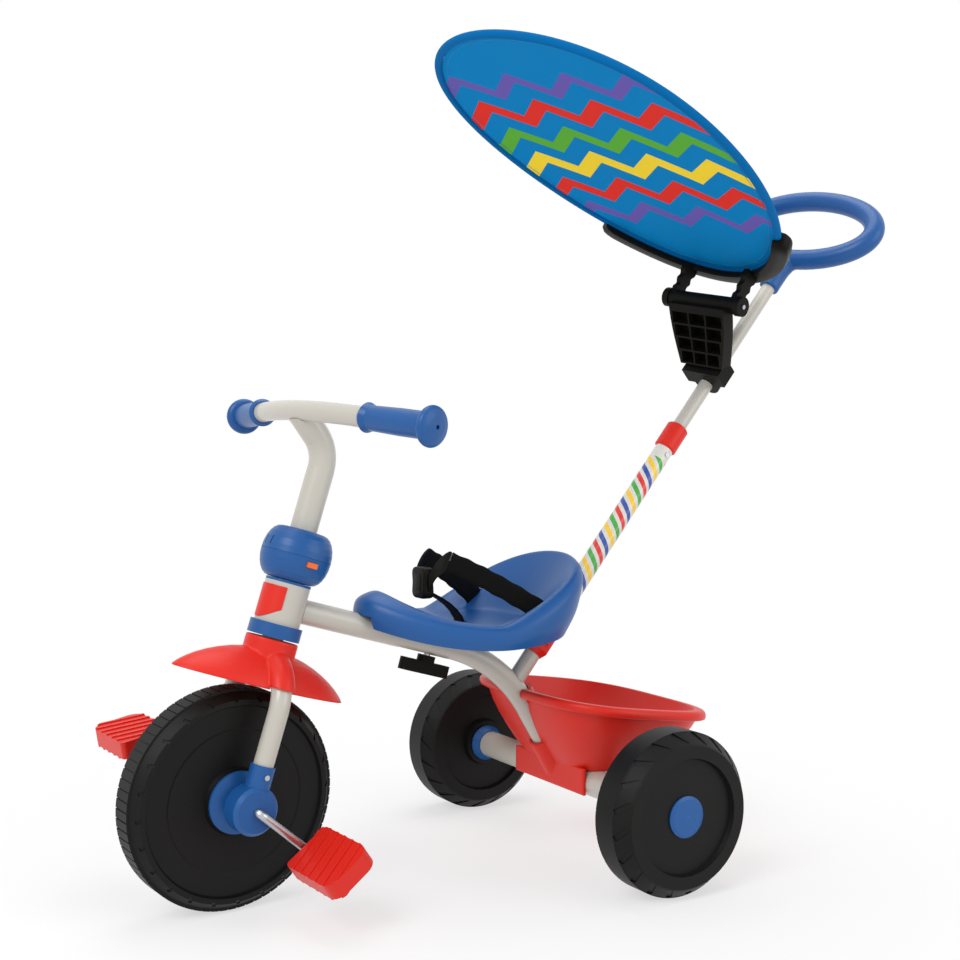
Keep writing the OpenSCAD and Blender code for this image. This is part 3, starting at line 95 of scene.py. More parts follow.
for k in range(BEND_STEPS + 1):
    a = k * bend_turn / BEND_STEPS
    BEND.append(bend_hub + BEND_R * (cos(a) * across - sin(a) * along))
print("pole foot", [round(x, 1) for x in FOOT], "lower slope", round(LOW_SLOPE, 2))

# %% [markdown]
# ## Mesh helpers
# Most drawn shapes are lofts: rings of points joined by quads. A line through a few points is smoothed by a
# Catmull-Rom curve, which passes through every one of them. Cuts and joins between two meshes are booleans,
# and a joint that should flow is remeshed into small cells and relaxed.

# %% Lofts, sweeps and booleans
CREASE, CLOTH_CREASE = 38, 60


def smooth(points, steps, closed=False):
    """Catmull-Rom curve through the points."""
    n = len(points)
    out = []
    for i in range(n if closed else n - 1):
        q = [points[(i + k) % n] if closed else points[min(max(i + k, 0), n - 1)] for k in (-1, 0, 1, 2)]
        a, b, c, d = (Vector(p) for p in q)
        for s in range(steps):
            t = s / steps
            out.append(0.5 * (2 * b + (c - a) * t + (2 * a - 5 * b + 4 * c - d) * t * t
                              + (3 * b - a - 3 * c + d) * t ** 3))
    if not closed:
        out.append(Vector(points[-1]))
    return out


def loft(rings, closed=False, caps=True):
    """Quads between rings of equal length."""
    n, m = len(rings[0]), len(rings)
    faces = [(i * n + j, i * n + (j + 1) % n, (i + 1) % m * n + (j + 1) % n, (i + 1) % m * n + j)
             for i in range(m if closed else m - 1) for j in range(n)]
    if caps and not closed:
        faces += [tuple(reversed(range(n))), tuple(range((m - 1) * n, m * n))]
    return [p for r in rings for p in r], faces


def sweep(path, section, up):
    """Rings of a section carried along a path; up is the side that its second axis faces."""
    rings = []
    for i, p in enumerate(path):
        t = (path[min(i + 1, len(path) - 1)] - path[max(i - 1, 0)]).normalized()
        s = Vector(up).cross(t).normalized()
        rings.append([p + a * s + b * t.cross(s) for a, b in section])
    return rings


def raw(name, shape, place):
    mesh = bpy.data.meshes.new(name)
    m = UNIT @ place
    mesh.from_pydata([m @ Vector(p) for p in shape[0]], [], shape[1])
    bm = bmesh.new()
    bm.from_mesh(mesh)
    bmesh.ops.recalc_face_normals(bm, faces=bm.faces)
    bm.to_mesh(mesh)
    bm.free()
    ob = bpy.data.objects.new(name, mesh)
    bpy.context.scene.collection.objects.link(ob)
    return ob


def settle(ob):
    """Put what the modifiers make into the mesh itself."""
    made = bpy.data.meshes.new_from_object(ob.evaluated_get(bpy.context.evaluated_depsgraph_get()))
    ob.modifiers.clear()
    ob.data = made
    return ob


def combine(ob, operation, *others):
    for other in others:
        mod = ob.modifiers.new("boolean", "BOOLEAN")
        mod.object, mod.operation, mod.solver = other, operation, "EXACT"
    settle(ob)
    for other in others:
        bpy.data.objects.remove(other)
    return ob


def flow(ob, cell, rounds):
    """Remesh into even cells and relax them, so that joined forms run into one another."""
    mod = ob.modifiers.new("cells", "REMESH")
    mod.mode, mod.voxel_size = "VOXEL", cell * 0.001
    mod = ob.modifiers.new("relax", "SMOOTH")
    mod.factor, mod.iterations = 0.5, rounds
    return settle(ob)


def finish(ob, body, hides=(), angle=CREASE):
    """Smooth the skin except at creases past the angle, and put the piece on its body."""
    ob.data.shade_smooth()
    ob.data.set_sharp_from_angle(angle=math.radians(angle))
    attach(ob, body)
    if hides:
        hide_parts(*hides)
    print(ob.name, len(ob.data.polygons), "faces")
    return ob


def rod(radius, low, high, place, sides=64):
    ring = [(radius * cos(360 * j / sides), radius * sin(360 * j / sides)) for j in range(sides)]
    return raw("cutter", loft([[(x, y, z) for x, y in ring] for z in (low, high)]), place)


def block(lo, hi, place):
    ring = [(lo[0], lo[1]), (hi[0], lo[1]), (hi[0], hi[1]), (lo[0], hi[1])]
    return raw("cutter", loft([[(x, y, z) for x, y in ring] for z in (lo[2], hi[2])]), place)


# %% [markdown]
# ## Seat
# The bucket is a loft of rings round the seat's egg-shaped plan. At every angle one line climbs the skirt,
# rolls over the rim and runs down to the floor. The underside is the same line drawn in by the wall.

# %% Bucket seat
SEAT_MID, SEAT_FRONT, SEAT_REAR, SEAT_HALF, SEAT_WALL = -52, 144, 154, 110, 4
RIM, NOSE_RISE, BACK_RISE, SEAT_FLOOR = 27, 39, 74, 22
NOSE_SKIRT, BACK_SKIRT, BACK_NOTCH, BACK_TUCK = 28, 13, 40, 25
TUBE_CUT_R = 14.55


def seat_line(a, t):
    """The section at angle a, drawn in by t, as (distance in from the edge, height) points.

    r is the height of the rim, s of the skirt's foot and f of the floor; k is the width of the roll over
    the rim and u how far the back tucks under.
    """
    c = cos(a)
    r = RIM + (NOSE_RISE * c * c if c >= 0 else BACK_RISE * (-c) ** 1.15)
    s = -1 + (NOSE_SKIRT * c ** 2.2 if c >= 0 else BACK_SKIRT * (-c) ** 1.5 + BACK_NOTCH * (-c) ** 12)
    f = SEAT_FLOOR + 15 * max(0, c)
    k = 13 + 12 * max(0, c) ** 2
    u = BACK_TUCK * max(0, -c) ** 1.2
    line = [(3 + t + u, s), (t + 0.55 * u, s + 0.35 * (r - s)), (t + 0.1 * k + 0.2 * u, s + 0.7 * (r - s)),
            (t / 2 + 0.4 * k, r - 0.12 * (r - s) - t / 2), (k, r - t), (k + 8, r - t - 0.12 * (r - f)),
            (k + 16 - t / 2 + 0.4 * u, r - t - 0.45 * (r - f)),
            (k + 24 - t / 2 + 0.8 * u, f - t + 0.2 * (r - f)), (k + 30 + u, f - t + 0.04 * (r - f)),
            (78, SEAT_FLOOR - t + 0.4 * (f - SEAT_FLOOR)), (98, SEAT_FLOOR - t)]
    return smooth([(x, 0, z) for x, z in line], 4)


def seat_point(a, q):
    c = cos(a)
    reach = (SEAT_FRONT if c >= 0 else SEAT_REAR) - q.x
    wide = (SEAT_HALF - q.x) * sin(a) * (1 - 0.30 * c + 0.2 * max(0, -c) ** 2)
    return (SEAT_MID + reach * c, wide, q.z)


ANGLES = [3 * j for j in range(120)]
under = [seat_line(a, SEAT_WALL) for a in ANGLES]
over = [seat_line(a, 0) for a in ANGLES]
rows = range(len(over[0]))
rings = [[seat_point(a, lines[j][k]) for j, a in enumerate(ANGLES)]
         for lines, order in ((under, reversed(rows)), (over, rows)) for k in order]
seat = raw("seat_bucket", loft(rings), BOLT)
rib = [(-34, -6), (34, 14), (34, 34), (-6, 20), (-34, 20)]
combine(seat, "UNION", raw("saddle", loft([[(x, y, z) for x, z in rib] for y in (-22, 22)]), BOLT))
TUBE = BOLT @ turn("Y", 90 - SLOPE)
SLOT = Vector((-113, 74, 41))
FACE = (0.3, 0.9, 0.25)
BELT = Vector((-62, 46, 78))
belt_in = (BELT - SLOT).normalized()
slot_box = [(-13, 1.4), (13, 1.4), (13, -1.4), (-13, -1.4)]
tube_way = rod(TUBE_CUT_R, -400, 400, TUBE)
crotch_slot = block((-52.5, -15, 12), (-47.5, 15, 32), BOLT)
nose_notch = block((56, -24, -110), (200, 24, 12.5), BOLT @ turn("Y", -SLOPE))
cuts = [tube_way, crotch_slot, nose_notch]
for flip in (1, -1):
    way = sweep([SLOT - 25 * belt_in, SLOT + 25 * belt_in], slot_box, FACE)
    cuts.append(raw("cutter", loft([[(p.x, flip * p.y, p.z) for p in r] for r in way]), BOLT))
combine(seat, "DIFFERENCE", *cuts)
finish(seat, "seat", ["seat_shell"])

# %% [markdown]
# ## Basket
# The tub is one loft from the middle of its floor, up the outside, round the rolled lip and down inside. The
# half-round channel that sits on the frame tube, the apron in front of the axle and the round socket at the
# tube's end are joined to it.

# %% Basket
BASKET_MID, BASKET_POWER, RIM_SLOPE = -38, 0.62, 0.15
BASKET_REAR, BASKET_FRONT, BASKET_HALF, BASKET_WALL = 156, 64, 136, 3
LIP_OUT, LIP_TOP, WALL_TOP, FLOOR = 10, 105, 93, 16.8
DRAUGHT_REAR, DRAUGHT, BELLY = 50, 42, 1.3
SOCKET_R, CHANNEL_R, CHANNEL_BORE, AXLE_CUT_R = 20, 18.45, 15.45, 17.8


def basket_ring(rear, front, half, z, slope, share=1, sides=144):
    ring = []
    for j in range(sides):
        c, s = cos(360 * j / sides), sin(360 * j / sides)
        reach = front - BASKET_MID if c >= 0 else rear + BASKET_MID
        x = BASKET_MID + share * reach * math.copysign(abs(c) ** BASKET_POWER, c)
        ring.append(Vector((x, share * half * math.copysign(abs(s) ** BASKET_POWER, s), z + slope * x)))
    return ring


def wall(inset, base, top, shares):
    """Rings up the tub's side, a little bellied."""
    made = []
    for k in shares:
        draw = (1 - k) ** BELLY
        rear = BASKET_REAR - inset - DRAUGHT_REAR * draw
        front = BASKET_FRONT - inset - DRAUGHT * draw
        half = BASKET_HALF - inset - DRAUGHT * draw
        made.append(basket_ring(rear, front, half, base + (top - base) * k, RIM_SLOPE * k))
    return made


CLIMB = (0, 0.03, 0.08, 0.2, 0.4, 0.6, 0.8, 1)
ROLL = ((8, 12.4), (2.5, 12), (0.8, 11), (0, 8.5), (0, 5.5), (0.8, 2.6), (2.6, 0.8), (5, 0), (10, 0),
        (12, 0.6))
lip = [basket_ring(BASKET_REAR + LIP_OUT - d, BASKET_FRONT + LIP_OUT - d, BASKET_HALF + LIP_OUT - d,
                   LIP_TOP - h, RIM_SLOPE) for d, h in ROLL]
outside = [basket_ring(97, 13, 85, FLOOR, 0, 0.5)] + wall(0, FLOOR, WALL_TOP, CLIMB)
inside = wall(BASKET_WALL, FLOOR + BASKET_WALL, LIP_TOP, CLIMB[::-1])
inside.append(basket_ring(94, 10, 82, FLOOR + BASKET_WALL, 0, 0.5))
basket = raw("basket_tub", loft(outside + lip + inside), AXLE)
CHANNEL = AXLE @ turn("Y", 90 - LOW_SLOPE)
saddle = rod(CHANNEL_R, 22, 128, CHANNEL)
combine(saddle, "DIFFERENCE", block((3, -40, 0), (60, 40, 200), CHANNEL))
plate = block((16.5, -78, -13), (21.5, 78, FLOOR + 4), AXLE)
combine(plate, "UNION", rod(SOCKET_R, -4, 58, CHANNEL))
flow(plate, 1.2, 12)
combine(basket, "UNION", saddle, plate)
ring = [(CHANNEL_BORE * cos(7.5 * j), CHANNEL_BORE * sin(7.5 * j)) for j in range(48)]
path = [BEND[0] + 90 * along] + BEND + [corner - 220 * along_low]
tube = raw("cutter", loft(sweep(path, ring, (0, 1, 0))), Matrix.Identity(4))
combine(basket, "DIFFERENCE", tube, rod(AXLE_CUT_R, -222, 222, AXLE @ turn("X", -90)))
finish(basket, "frame", ["basket"])

# %% [markdown]
# ## Mudguard
# A pointed dome with a neck round the steering tube and two tunnels over the fork's bow. The forms are joined
# in the fork's own frame, so that the cells of the remesh lie along the rim. The inside is cut out, neck,
# tunnels and dome flow into one moulding, and the mesh is then set on the fork.

# %% Mudguard
HERE = Matrix.Identity(4)
GUARD_LONG, GUARD_HALF, GUARD_LOW, GUARD_RISE, GUARD_WALL, GUARD_EDGE = 112, 50, 129, 42, 2.5, 2
BOW_R, BOW_Z, TUNNEL_R, LEG_CUT_R, NECK_R, STEERER_CUT_R = 57, 105, 15.5, 12.6, 30.5, 13.4
DOME_SHARES = (1, 0.985, 0.96, 0.92, 0.86, 0.78, 0.68, 0.56, 0.42, 0.26, 0.1)


def dome(drop, inset):
    rings = []
    for share in DOME_SHARES:
        ring = []
        for j in range(96):
            c, s = cos(3.75 * j), sin(3.75 * j)
            ring.append((share * (GUARD_LONG - inset) * c, share * (GUARD_HALF - inset) * s * abs(s) ** 0.2,
                         GUARD_LOW - drop + GUARD_RISE * (1 - share * share) ** 0.8))
        rings.append(ring)
    return loft(rings)


def fork_shape(radius, base, sides=32):
    path = [Vector((0, -BOW_R, base))]
    path += [Vector((0, -BOW_R * cos(a), BOW_Z + BOW_R * sin(a))) for a in range(0, 181, 6)]
    path.append(Vector((0, BOW_R, base)))
    section = [(radius * cos(360 * j / sides), radius * sin(360 * j / sides)) for j in range(sides)]
    return raw("tunnel", loft(sweep(path, section, (1, 0, 0))), HERE)


guard = raw("mudguard_shell", dome(0, 0), HERE)
tunnels = fork_shape(TUNNEL_R, 100)
combine(tunnels, "INTERSECT", block((-60, -120, GUARD_LOW + 4), (60, 120, 220), HERE))
combine(guard, "UNION", tunnels, rod(NECK_R, 158, 182.5, HERE))
combine(guard, "DIFFERENCE", raw("hollow", dome(GUARD_WALL, GUARD_EDGE), HERE), fork_shape(LEG_CUT_R, 90),
        rod(STEERER_CUT_R, 100, 200, HERE))
flow(guard, 1.1, 6)
guard.data.transform(UNIT @ FORK @ UNIT.inverted())
finish(guard, "steering", ["mudguard"])

# %% [markdown]
# ## Push handle
# The oval loop and its boot are one soft moulding over the pole's end. They are joined and remeshed, so that
# the boot widens into the loop.

# %% Push handle
LOOP_Z, LOOP_HALF, LOOP_TALL, LOOP_R, BOOT_R = 783, 108, 56, 14.2, 14
LOOP_STEPS = 90
FACING = Vector((1, 0, 0))
path = [Vector((0, LOOP_HALF * sin(a), LOOP_Z - LOOP_TALL * cos(a)))
        for a in range(0, 360, 360 // LOOP_STEPS)]
rings = []
for i, p in enumerate(path):
    t = (path[(i + 1) % LOOP_STEPS] - path[i - 1]).normalized()
    out = t.cross(FACING)
    rings.append([p + LOOP_R * (cos(15 * b) * out + sin(15 * b) * FACING) for b in range(24)])
handle = raw("handle_loop", loft(rings, closed=True), UPPER)
flare = ((BOOT_R, 671), (BOOT_R, 690), (14.6, 703), (18, 714), (25, 723), (36, 731))
profile = smooth([(x, 0, z) for x, z in flare], 5)
boot = [[(min(BOOT_R, q.x) * cos(7.5 * j), q.x * sin(7.5 * j), q.z) for j in range(48)] for q in profile]
combine(handle, "UNION", raw("boot", loft(boot), UPPER))
flow(handle, 1.6, 8)
finish(handle, "push_pole", ["push_handle"])

# %% [markdown]
# ## Canopy
# Cloth stretched over an oval hoop. The cloth is a polar grid that bulges a little and ripples where the hem
# pulls on it. The hem is a sleeve round the hoop, a little flattened on its inner side, and the cradle is a
# black rail that grips the hoop's rear, with rounded ends and two legs down to the hinge.

# %% Canopy cloth, hem and cradle
HOOP_LONG, HOOP_HALF, HEM_R, BULGE, CLOTH = 269, 192, 5.0, 8, 0.9
TURN, CLOTH_RINGS, HEM_STEPS = 180, 32, 180
RAIL_FROM, RAIL_SPAN, RAIL_STEPS, ROUND_STEPS = 131, 98, 78, 4
GRIP_X, GRIP_Z = 5.6, 5.9
HINGE_BACK, HINGE_UP, HINGE_R, PIN_CUT_R = -271, 8, 11, 3.1
LEG_IN, LEG_OUT = 46.3, 54.3
EGG_X, EGG_Y, CLOTH_IN = 0.063, 0.024, 4.6


def hoop(a, inset=0):
    """A point of the hoop's oval, which is a little egg-shaped."""
    x = (HOOP_LONG - inset) * (cos(a) - EGG_X * cos(2 * a))
    return Vector((x, (HOOP_HALF - inset) * (sin(a) + EGG_Y * sin(2 * a)), 0))


def hoop_out(a):
    t = hoop(a + 1) - hoop(a - 1)
    return Vector((t.y, -t.x, 0)).normalized()


def plan_uv(ob, place):
    """A flat map of the canopy's plane, in metres."""
    layer = ob.data.uv_layers.new(name="plan")
    back = (UNIT @ place @ UNIT.inverted()).inverted()
    for loop in ob.data.loops:
        p = back @ ob.data.vertices[loop.vertex_index].co
        layer.data[loop.index].uv = (p.x, p.y)


rings = []
for i in range(1, CLOTH_RINGS + 1):
    share = i / CLOTH_RINGS
    ring = []
    for j in range(TURN):
        a = 360 * j / TURN
        p = share * hoop(a, CLOTH_IN)
        pull = 0.5 * sin(23 * a) * max(0, (share - 0.86) / 0.14) * (1 - share) / 0.07
        ring.append((p.x, p.y, BULGE * (1 - share ** 2.2) + pull))
    rings.append(ring)
points, faces = loft(rings, caps=False)
points.append((0, 0, BULGE))
faces += [(j, len(points) - 1, (j + 1) % TURN) for j in range(TURN)]
cloth = raw("canopy_fabric", (points, faces), CANOPY)
plan_uv(cloth, CANOPY)
mod = cloth.modifiers.new("thickness", "SOLIDIFY")
mod.thickness, mod.offset = CLOTH * 0.001, 0
settle(cloth)
finish(cloth, "canopy", ["canopy_cloth"], CLOTH_CREASE)

section = [(HEM_R * cos(22.5 * j), HEM_R * sin(22.5 * j)) for j in range(16)]
rings = []
for i in range(HEM_STEPS):
    a = 360 * i / HEM_STEPS
    rings.append([hoop(a) + (x + 0.5 * (x < -4)) * hoop_out(a) + Vector((0, 0, z)) for x, z in section])
hem = raw("canopy_hem", loft(rings, closed=True), CANOPY)
plan_uv(hem, CANOPY)
finish(hem, "canopy", ["canopy_hoop"], CLOTH_CREASE)


def draw_in(v, core, keep):
    """Bring what stands past the core nearer to it; what lies inside stays."""
    return v if v <= core else core + (v - core) * keep


# The rail's section: out from the hoop's line, and up
rail = [(-3.5, 7.5), (4, 7.8), (14, 7.5), (18, 5.4), (19.5, -1), (19.5, -6), (18, -11.8), (14, -13.9),
        (4, -14.2), (-3.5, -13.9), (-4.4, -9.5), (-3.5, -5.8), (4, -5.6), (5.6, -3), (5.6, 3), (4, 5.6),
        (-3.5, 5.6)]
rings = []
for i in range(RAIL_STEPS + 1):
    a = RAIL_FROM + i * RAIL_SPAN / RAIL_STEPS
    near_end = min(i, RAIL_STEPS - i, ROUND_STEPS) / ROUND_STEPS
    keep = 0.35 + 0.65 * math.sqrt(1 - (1 - near_end) ** 2)
    ring = [(draw_in(x, GRIP_X, keep), math.copysign(draw_in(abs(z), GRIP_Z, keep), z)) for x, z in rail]
    rings.append([hoop(a) + x * hoop_out(a) + Vector((0, 0, z)) for x, z in ring])
cradle = raw("canopy_rail", loft(rings), CANOPY)
hx = HINGE_BACK * cos(CANOPY_TILT) - HINGE_UP * sin(CANOPY_TILT)
hz = HINGE_BACK * sin(CANOPY_TILT) + HINGE_UP * cos(CANOPY_TILT)
print("hinge", round(hx, 1), round(hz, 1))
for flip in (1, -1):
    leg = []
    for y in (LEG_IN, LEG_OUT):
        edge = [(hx + HINGE_R * cos(b), hz + HINGE_R * sin(b)) for b in range(150, 391, 12)]
        front = ((10, 14), (6, 20), (9, 27), (6, 34), (9, 41), (7, -10 - hz))
        rear = ((-17, -10 - hz), (-16, 41), (-11, 34), (-13, 27), (-9, 20), (-11, 12))
        for line in (front, rear):
            edge += smooth([(hx + x, hz + z, 0) for x, z in line], 4)
        edge = [(q[0], q[1]) for q in edge]
        leg.append([(x, flip * y, z) for x, z in edge])
    combine(cradle, "UNION", raw("leg", loft(leg), CANOPY))
combine(cradle, "DIFFERENCE", rod(PIN_CUT_R, -222, 222, CANOPY @ shift(hx, 0, hz) @ turn("X", -90)))
finish(cradle, "canopy", ["canopy_cradle"])

# %% [markdown]
# ## Harness
# Flat woven webbing follows the same lines as the solids: from the slot in each wall up to the glide, and
# from the floor up to the buckle. Its edges ripple a little. A map along each strap carries the weave.

# %% Webbing
WEB_HALF, WEB_THICK, WEB_EDGE, RIPPLE = 12.5, 0.8, 0.5, 0.04


def bow(a, b, c, steps=40):
    """A curve from a to c, pulled towards b."""
    a, b, c = Vector(a), Vector(b), Vector(c)
    return [(1 - k) ** 2 * a + 2 * k * (1 - k) * b + k * k * c for k in (i / steps for i in range(steps + 1))]


def strap(name, path, up, flip, hides):
    w, t, v = WEB_HALF, WEB_THICK, WEB_HALF - WEB_EDGE
    edge = [(-w, 0), (-v, t), (-6, t), (0, t), (6, t), (v, t), (w, 0), (v, -t), (6, -t), (0, -t), (-6, -t),
            (-v, -t)]
    rings = []
    for i, ring in enumerate(sweep(path, edge, up)):
        ring = [path[i].lerp(p, 1 + RIPPLE * sin(47 * i)) for p in ring]
        rings.append([Vector((p.x, flip * p.y, p.z)) for p in ring])
    ob = raw(name, loft(rings), BOLT)
    layer = ob.data.uv_layers.new(name="plan")
    run = [0.0]
    for p, q in zip(path, path[1:]):
        run.append(run[-1] + (q - p).length)
    for loop in ob.data.loops:
        i, j = divmod(loop.vertex_index, len(edge))
        layer.data[loop.index].uv = (run[i] * 0.001, edge[j][0] * 0.001)
    finish(ob, "seat", hides, CLOTH_CREASE)
    return ob


TOP = Vector((-16, 27, 99))
belt_out = (TOP - BELT).normalized()
lap = bow(SLOT - 4 * belt_in, BELT, TOP - 2.3 * belt_out)
CROTCH_FOOT, CROTCH_PULL, CROTCH_TOP = (-50, 0, 18), (-42, 0, 42), (-4.6, 0, 59.33)
crotch = bow(CROTCH_FOOT, CROTCH_PULL, CROTCH_TOP)
straps = [strap("lap_webbing_left", lap, FACE, 1, ["lap_strap_left"]),
          strap("lap_webbing_right", lap, FACE, -1, ["lap_strap_right"]),
          strap("crotch_webbing", crotch, (-1, 0, 1), 1, ["crotch_strap"])]

# %% [markdown]
# ## Buckle
# The socket is a waisted block with soft edges and a raised press pad on each face. A glide on each side
# arches from the end of its strap to the socket. Bevels take the edge off the glides.

# %% Buckle and glides


def merge(shapes):
    points, faces = [], []
    for p, f in shapes:
        faces += [tuple(i + len(points) for i in face) for face in f]
        points += list(p)
    return points, faces


def pad(half_w, half_h, waist, layers):
    """Rings of a rounded oblong, waisted in the middle, for (x, inset) in layers."""
    rings = []
    for x, inset in layers:
        ring = []
        for j in range(64):
            c, s = cos(5.625 * j), sin(5.625 * j)
            y = (half_w - inset) * math.copysign(abs(c) ** 0.42, c)
            z = (half_h - inset) * math.copysign(abs(s) ** 0.42, s)
            ring.append((x, y * (1 - waist * math.exp(-(z / 9) ** 2)), z))
        rings.append(ring)
    return loft(rings)


BUCKLE_X, BUCKLE_Z, ARCH, STEPS = 3, 72, 22, 16
SOFT = ((-7, 2.6), (-6.6, 1.2), (-5.6, 0.3), (-4.2, 0), (4.2, 0), (5.6, 0.3), (6.6, 1.2), (7, 2.6))
PRESS = ((-7.9, 1.6), (-7.6, 0.5), (-6.5, 0), (6.5, 0), (7.6, 0.5), (7.9, 1.6))
buckle = raw("buckle_block", pad(17, 19, 0.12, SOFT), BOLT @ shift(BUCKLE_X, 0, BUCKLE_Z))
combine(buckle, "UNION", raw("press", pad(8, 11, 0, PRESS), BOLT @ shift(BUCKLE_X, 0, BUCKLE_Z + 1)))
finish(buckle, "seat", ["buckle_socket"])
wide = sweep([TOP - 2 * belt_out, TOP], [(-16.5, 2), (16.5, 2), (16.5, -2), (-16.5, -2)], FACE)[0]
narrow = [Vector((BUCKLE_X + b, 17.3, BUCKLE_Z - a)) for a, b in ((-10, 2), (10, 2), (10, -2), (-10, -2))]
rings = []
for k in (i / STEPS for i in range(STEPS + 1)):
    ring = [p.lerp(q, k) + ARCH * k * (1 - k) * Vector((0.4, 0, 0.9)) for p, q in zip(wide, narrow)]
    middle = sum(ring, Vector()) / 4
    rings.append([middle.lerp(p, 1 - 0.3 * (1 - k) ** 14) for p in ring])
tongue = loft(rings)
flipped = [Vector((p.x, -p.y, p.z)) for p in tongue[0]]
tongues = raw("buckle_glides", merge([tongue, (flipped, tongue[1])]), BOLT)
mod = tongues.modifiers.new("edges", "BEVEL")
mod.width, mod.segments, mod.limit_method, mod.angle_limit = 0.0012, 3, "ANGLE", math.radians(50)
settle(tongues)
finish(tongues, "seat", ["buckle_tongues"])

# %% [markdown]
# ## Stitches
# One small node tree lays a short thread on every point of a line. It runs round the cloth beside the hem, on
# both faces, and the result is kept as a plain mesh.

# %% Stitches by geometry nodes
thread = bpy.data.materials.new("thread")
thread.use_nodes = True


def stitch_tree():
    tree = bpy.data.node_groups.new("stitch_row", "GeometryNodeTree")
    face = tree.interface
    face.new_socket("Geometry", in_out="INPUT", socket_type="NodeSocketGeometry")
    for name in ("Spacing", "Length", "Radius"):
        face.new_socket(name, in_out="INPUT", socket_type="NodeSocketFloat")
    face.new_socket("Thread", in_out="INPUT", socket_type="NodeSocketMaterial")
    face.new_socket("Geometry", in_out="OUTPUT", socket_type="NodeSocketGeometry")
    add, link = tree.nodes.new, tree.links.new
    ends, out = add("NodeGroupInput"), add("NodeGroupOutput")
    curve, points = add("GeometryNodeMeshToCurve"), add("GeometryNodeResampleCurve")
    tangent, align = add("GeometryNodeInputTangent"), add("FunctionNodeAlignRotationToVector")
    bar, lay = add("GeometryNodeMeshCylinder"), add("GeometryNodeInstanceOnPoints")
    points.mode = "LENGTH"
    bar.inputs["Vertices"].default_value = 8
    real, paint = add("GeometryNodeRealizeInstances"), add("GeometryNodeSetMaterial")
    align.axis = "Z"
    link(ends.outputs["Geometry"], curve.inputs["Mesh"])
    link(curve.outputs["Curve"], points.inputs["Curve"])
    link(ends.outputs["Spacing"], points.inputs["Length"])
    link(tangent.outputs[0], align.inputs["Vector"])
    link(ends.outputs["Radius"], bar.inputs["Radius"])
    link(ends.outputs["Length"], bar.inputs["Depth"])
    link(points.outputs["Curve"], lay.inputs["Points"])
    link(bar.outputs["Mesh"], lay.inputs["Instance"])
    link(align.outputs["Rotation"], lay.inputs["Rotation"])
    link(lay.outputs["Instances"], real.inputs["Geometry"])
    link(real.outputs["Geometry"], paint.inputs["Geometry"])
    link(ends.outputs["Thread"], paint.inputs["Material"])
    link(paint.outputs["Geometry"], out.inputs["Geometry"])
    return tree


TREE = stitch_tree()
STITCH_IN, STITCH_HEIGHTS, STITCH_STEPS = 11, (0.9, -0.1), 180
SIZES = {"Spacing": 0.0042, "Length": 0.0028, "Radius": 0.00035, "Thread": thread}
place = UNIT @ CANOPY
line, edges = [], []
for z in STITCH_HEIGHTS:
    first = len(line)
    line += [place @ (hoop(a, STITCH_IN) + Vector((0, 0, z))) for a in range(0, 360, 360 // STITCH_STEPS)]
    edges += [(first + i, first + (i + 1) % STITCH_STEPS) for i in range(STITCH_STEPS)]
mesh = bpy.data.meshes.new("hem_stitches")
mesh.from_pydata(line, edges, [])
stitches = bpy.data.objects.new("hem_stitches", mesh)
bpy.context.scene.collection.objects.link(stitches)
mod = stitches.modifiers.new("row", "NODES")
mod.node_group = TREE
for socket in TREE.interface.items_tree:
    if socket.in_out == "INPUT" and socket.name != "Geometry":
        mod[socket.identifier] = SIZES[socket.name]
settle(stitches)
finish(stitches, "canopy")

# %% [markdown]
# ## Materials
# New plastic, paint and cloth. A shared group gives each colour a faint drift and a fine grain; the shader
# itself stays in each material. Sizes are real: a grain of about a millimetre on plastic, threads of about
# 1.2 mm in the webbing and 0.6 mm in the canopy.

# %% Material helpers


def node(tree, kind, inputs=(), **settings):
    made = tree.nodes.new(kind)
    for key, value in settings.items():
        setattr(made, key, value)
    for key, value in dict(inputs).items():
        if isinstance(value, bpy.types.NodeSocket):
            tree.links.new(value, made.inputs[key])
        else:
            made.inputs[key].default_value = value
    return made


def math_node(tree, operation, a, b=0.0):
    return node(tree, "ShaderNodeMath", {0: a, 1: b}, operation=operation).outputs[0]


def group(name, inputs, outputs):
    tree = bpy.data.node_groups.new(name, "ShaderNodeTree")
    for key, kind in inputs:
        tree.interface.new_socket(key, in_out="INPUT", socket_type="NodeSocket" + kind)
    for key, kind in outputs:
        tree.interface.new_socket(key, in_out="OUTPUT", socket_type="NodeSocket" + kind)
    return tree, tree.nodes.new("NodeGroupInput").outputs, tree.nodes.new("NodeGroupOutput").inputs


MOULD, ins, outs = group(
    "moulded", [("Colour", "Color"), ("Drift", "Float"), ("Grain", "Float"), ("Roughness", "Float")],
    [("Colour", "Color"), ("Roughness", "Float"), ("Height", "Float")])
where = node(MOULD, "ShaderNodeTexCoord").outputs["Object"]
broad = node(MOULD, "ShaderNodeTexNoise", {"Vector": where, "Scale": 14.0, "Detail": 3.0}).outputs[0]
fine = node(MOULD, "ShaderNodeTexNoise", {"Vector": where, "Scale": ins["Grain"], "Detail": 2.0}).outputs[0]
swing = math_node(MOULD, "SUBTRACT", broad, 0.5)
gain = math_node(MOULD, "ADD", math_node(MOULD, "MULTIPLY", swing, ins["Drift"]), 1.0)
tinted = node(MOULD, "ShaderNodeVectorMath", {0: ins["Colour"], "Scale": gain}, operation="SCALE").outputs[0]
MOULD.links.new(tinted, outs["Colour"])
uneven = math_node(MOULD, "MULTIPLY", swing, 0.12)
MOULD.links.new(math_node(MOULD, "ADD", ins["Roughness"], uneven), outs["Roughness"])
MOULD.links.new(fine, outs["Height"])


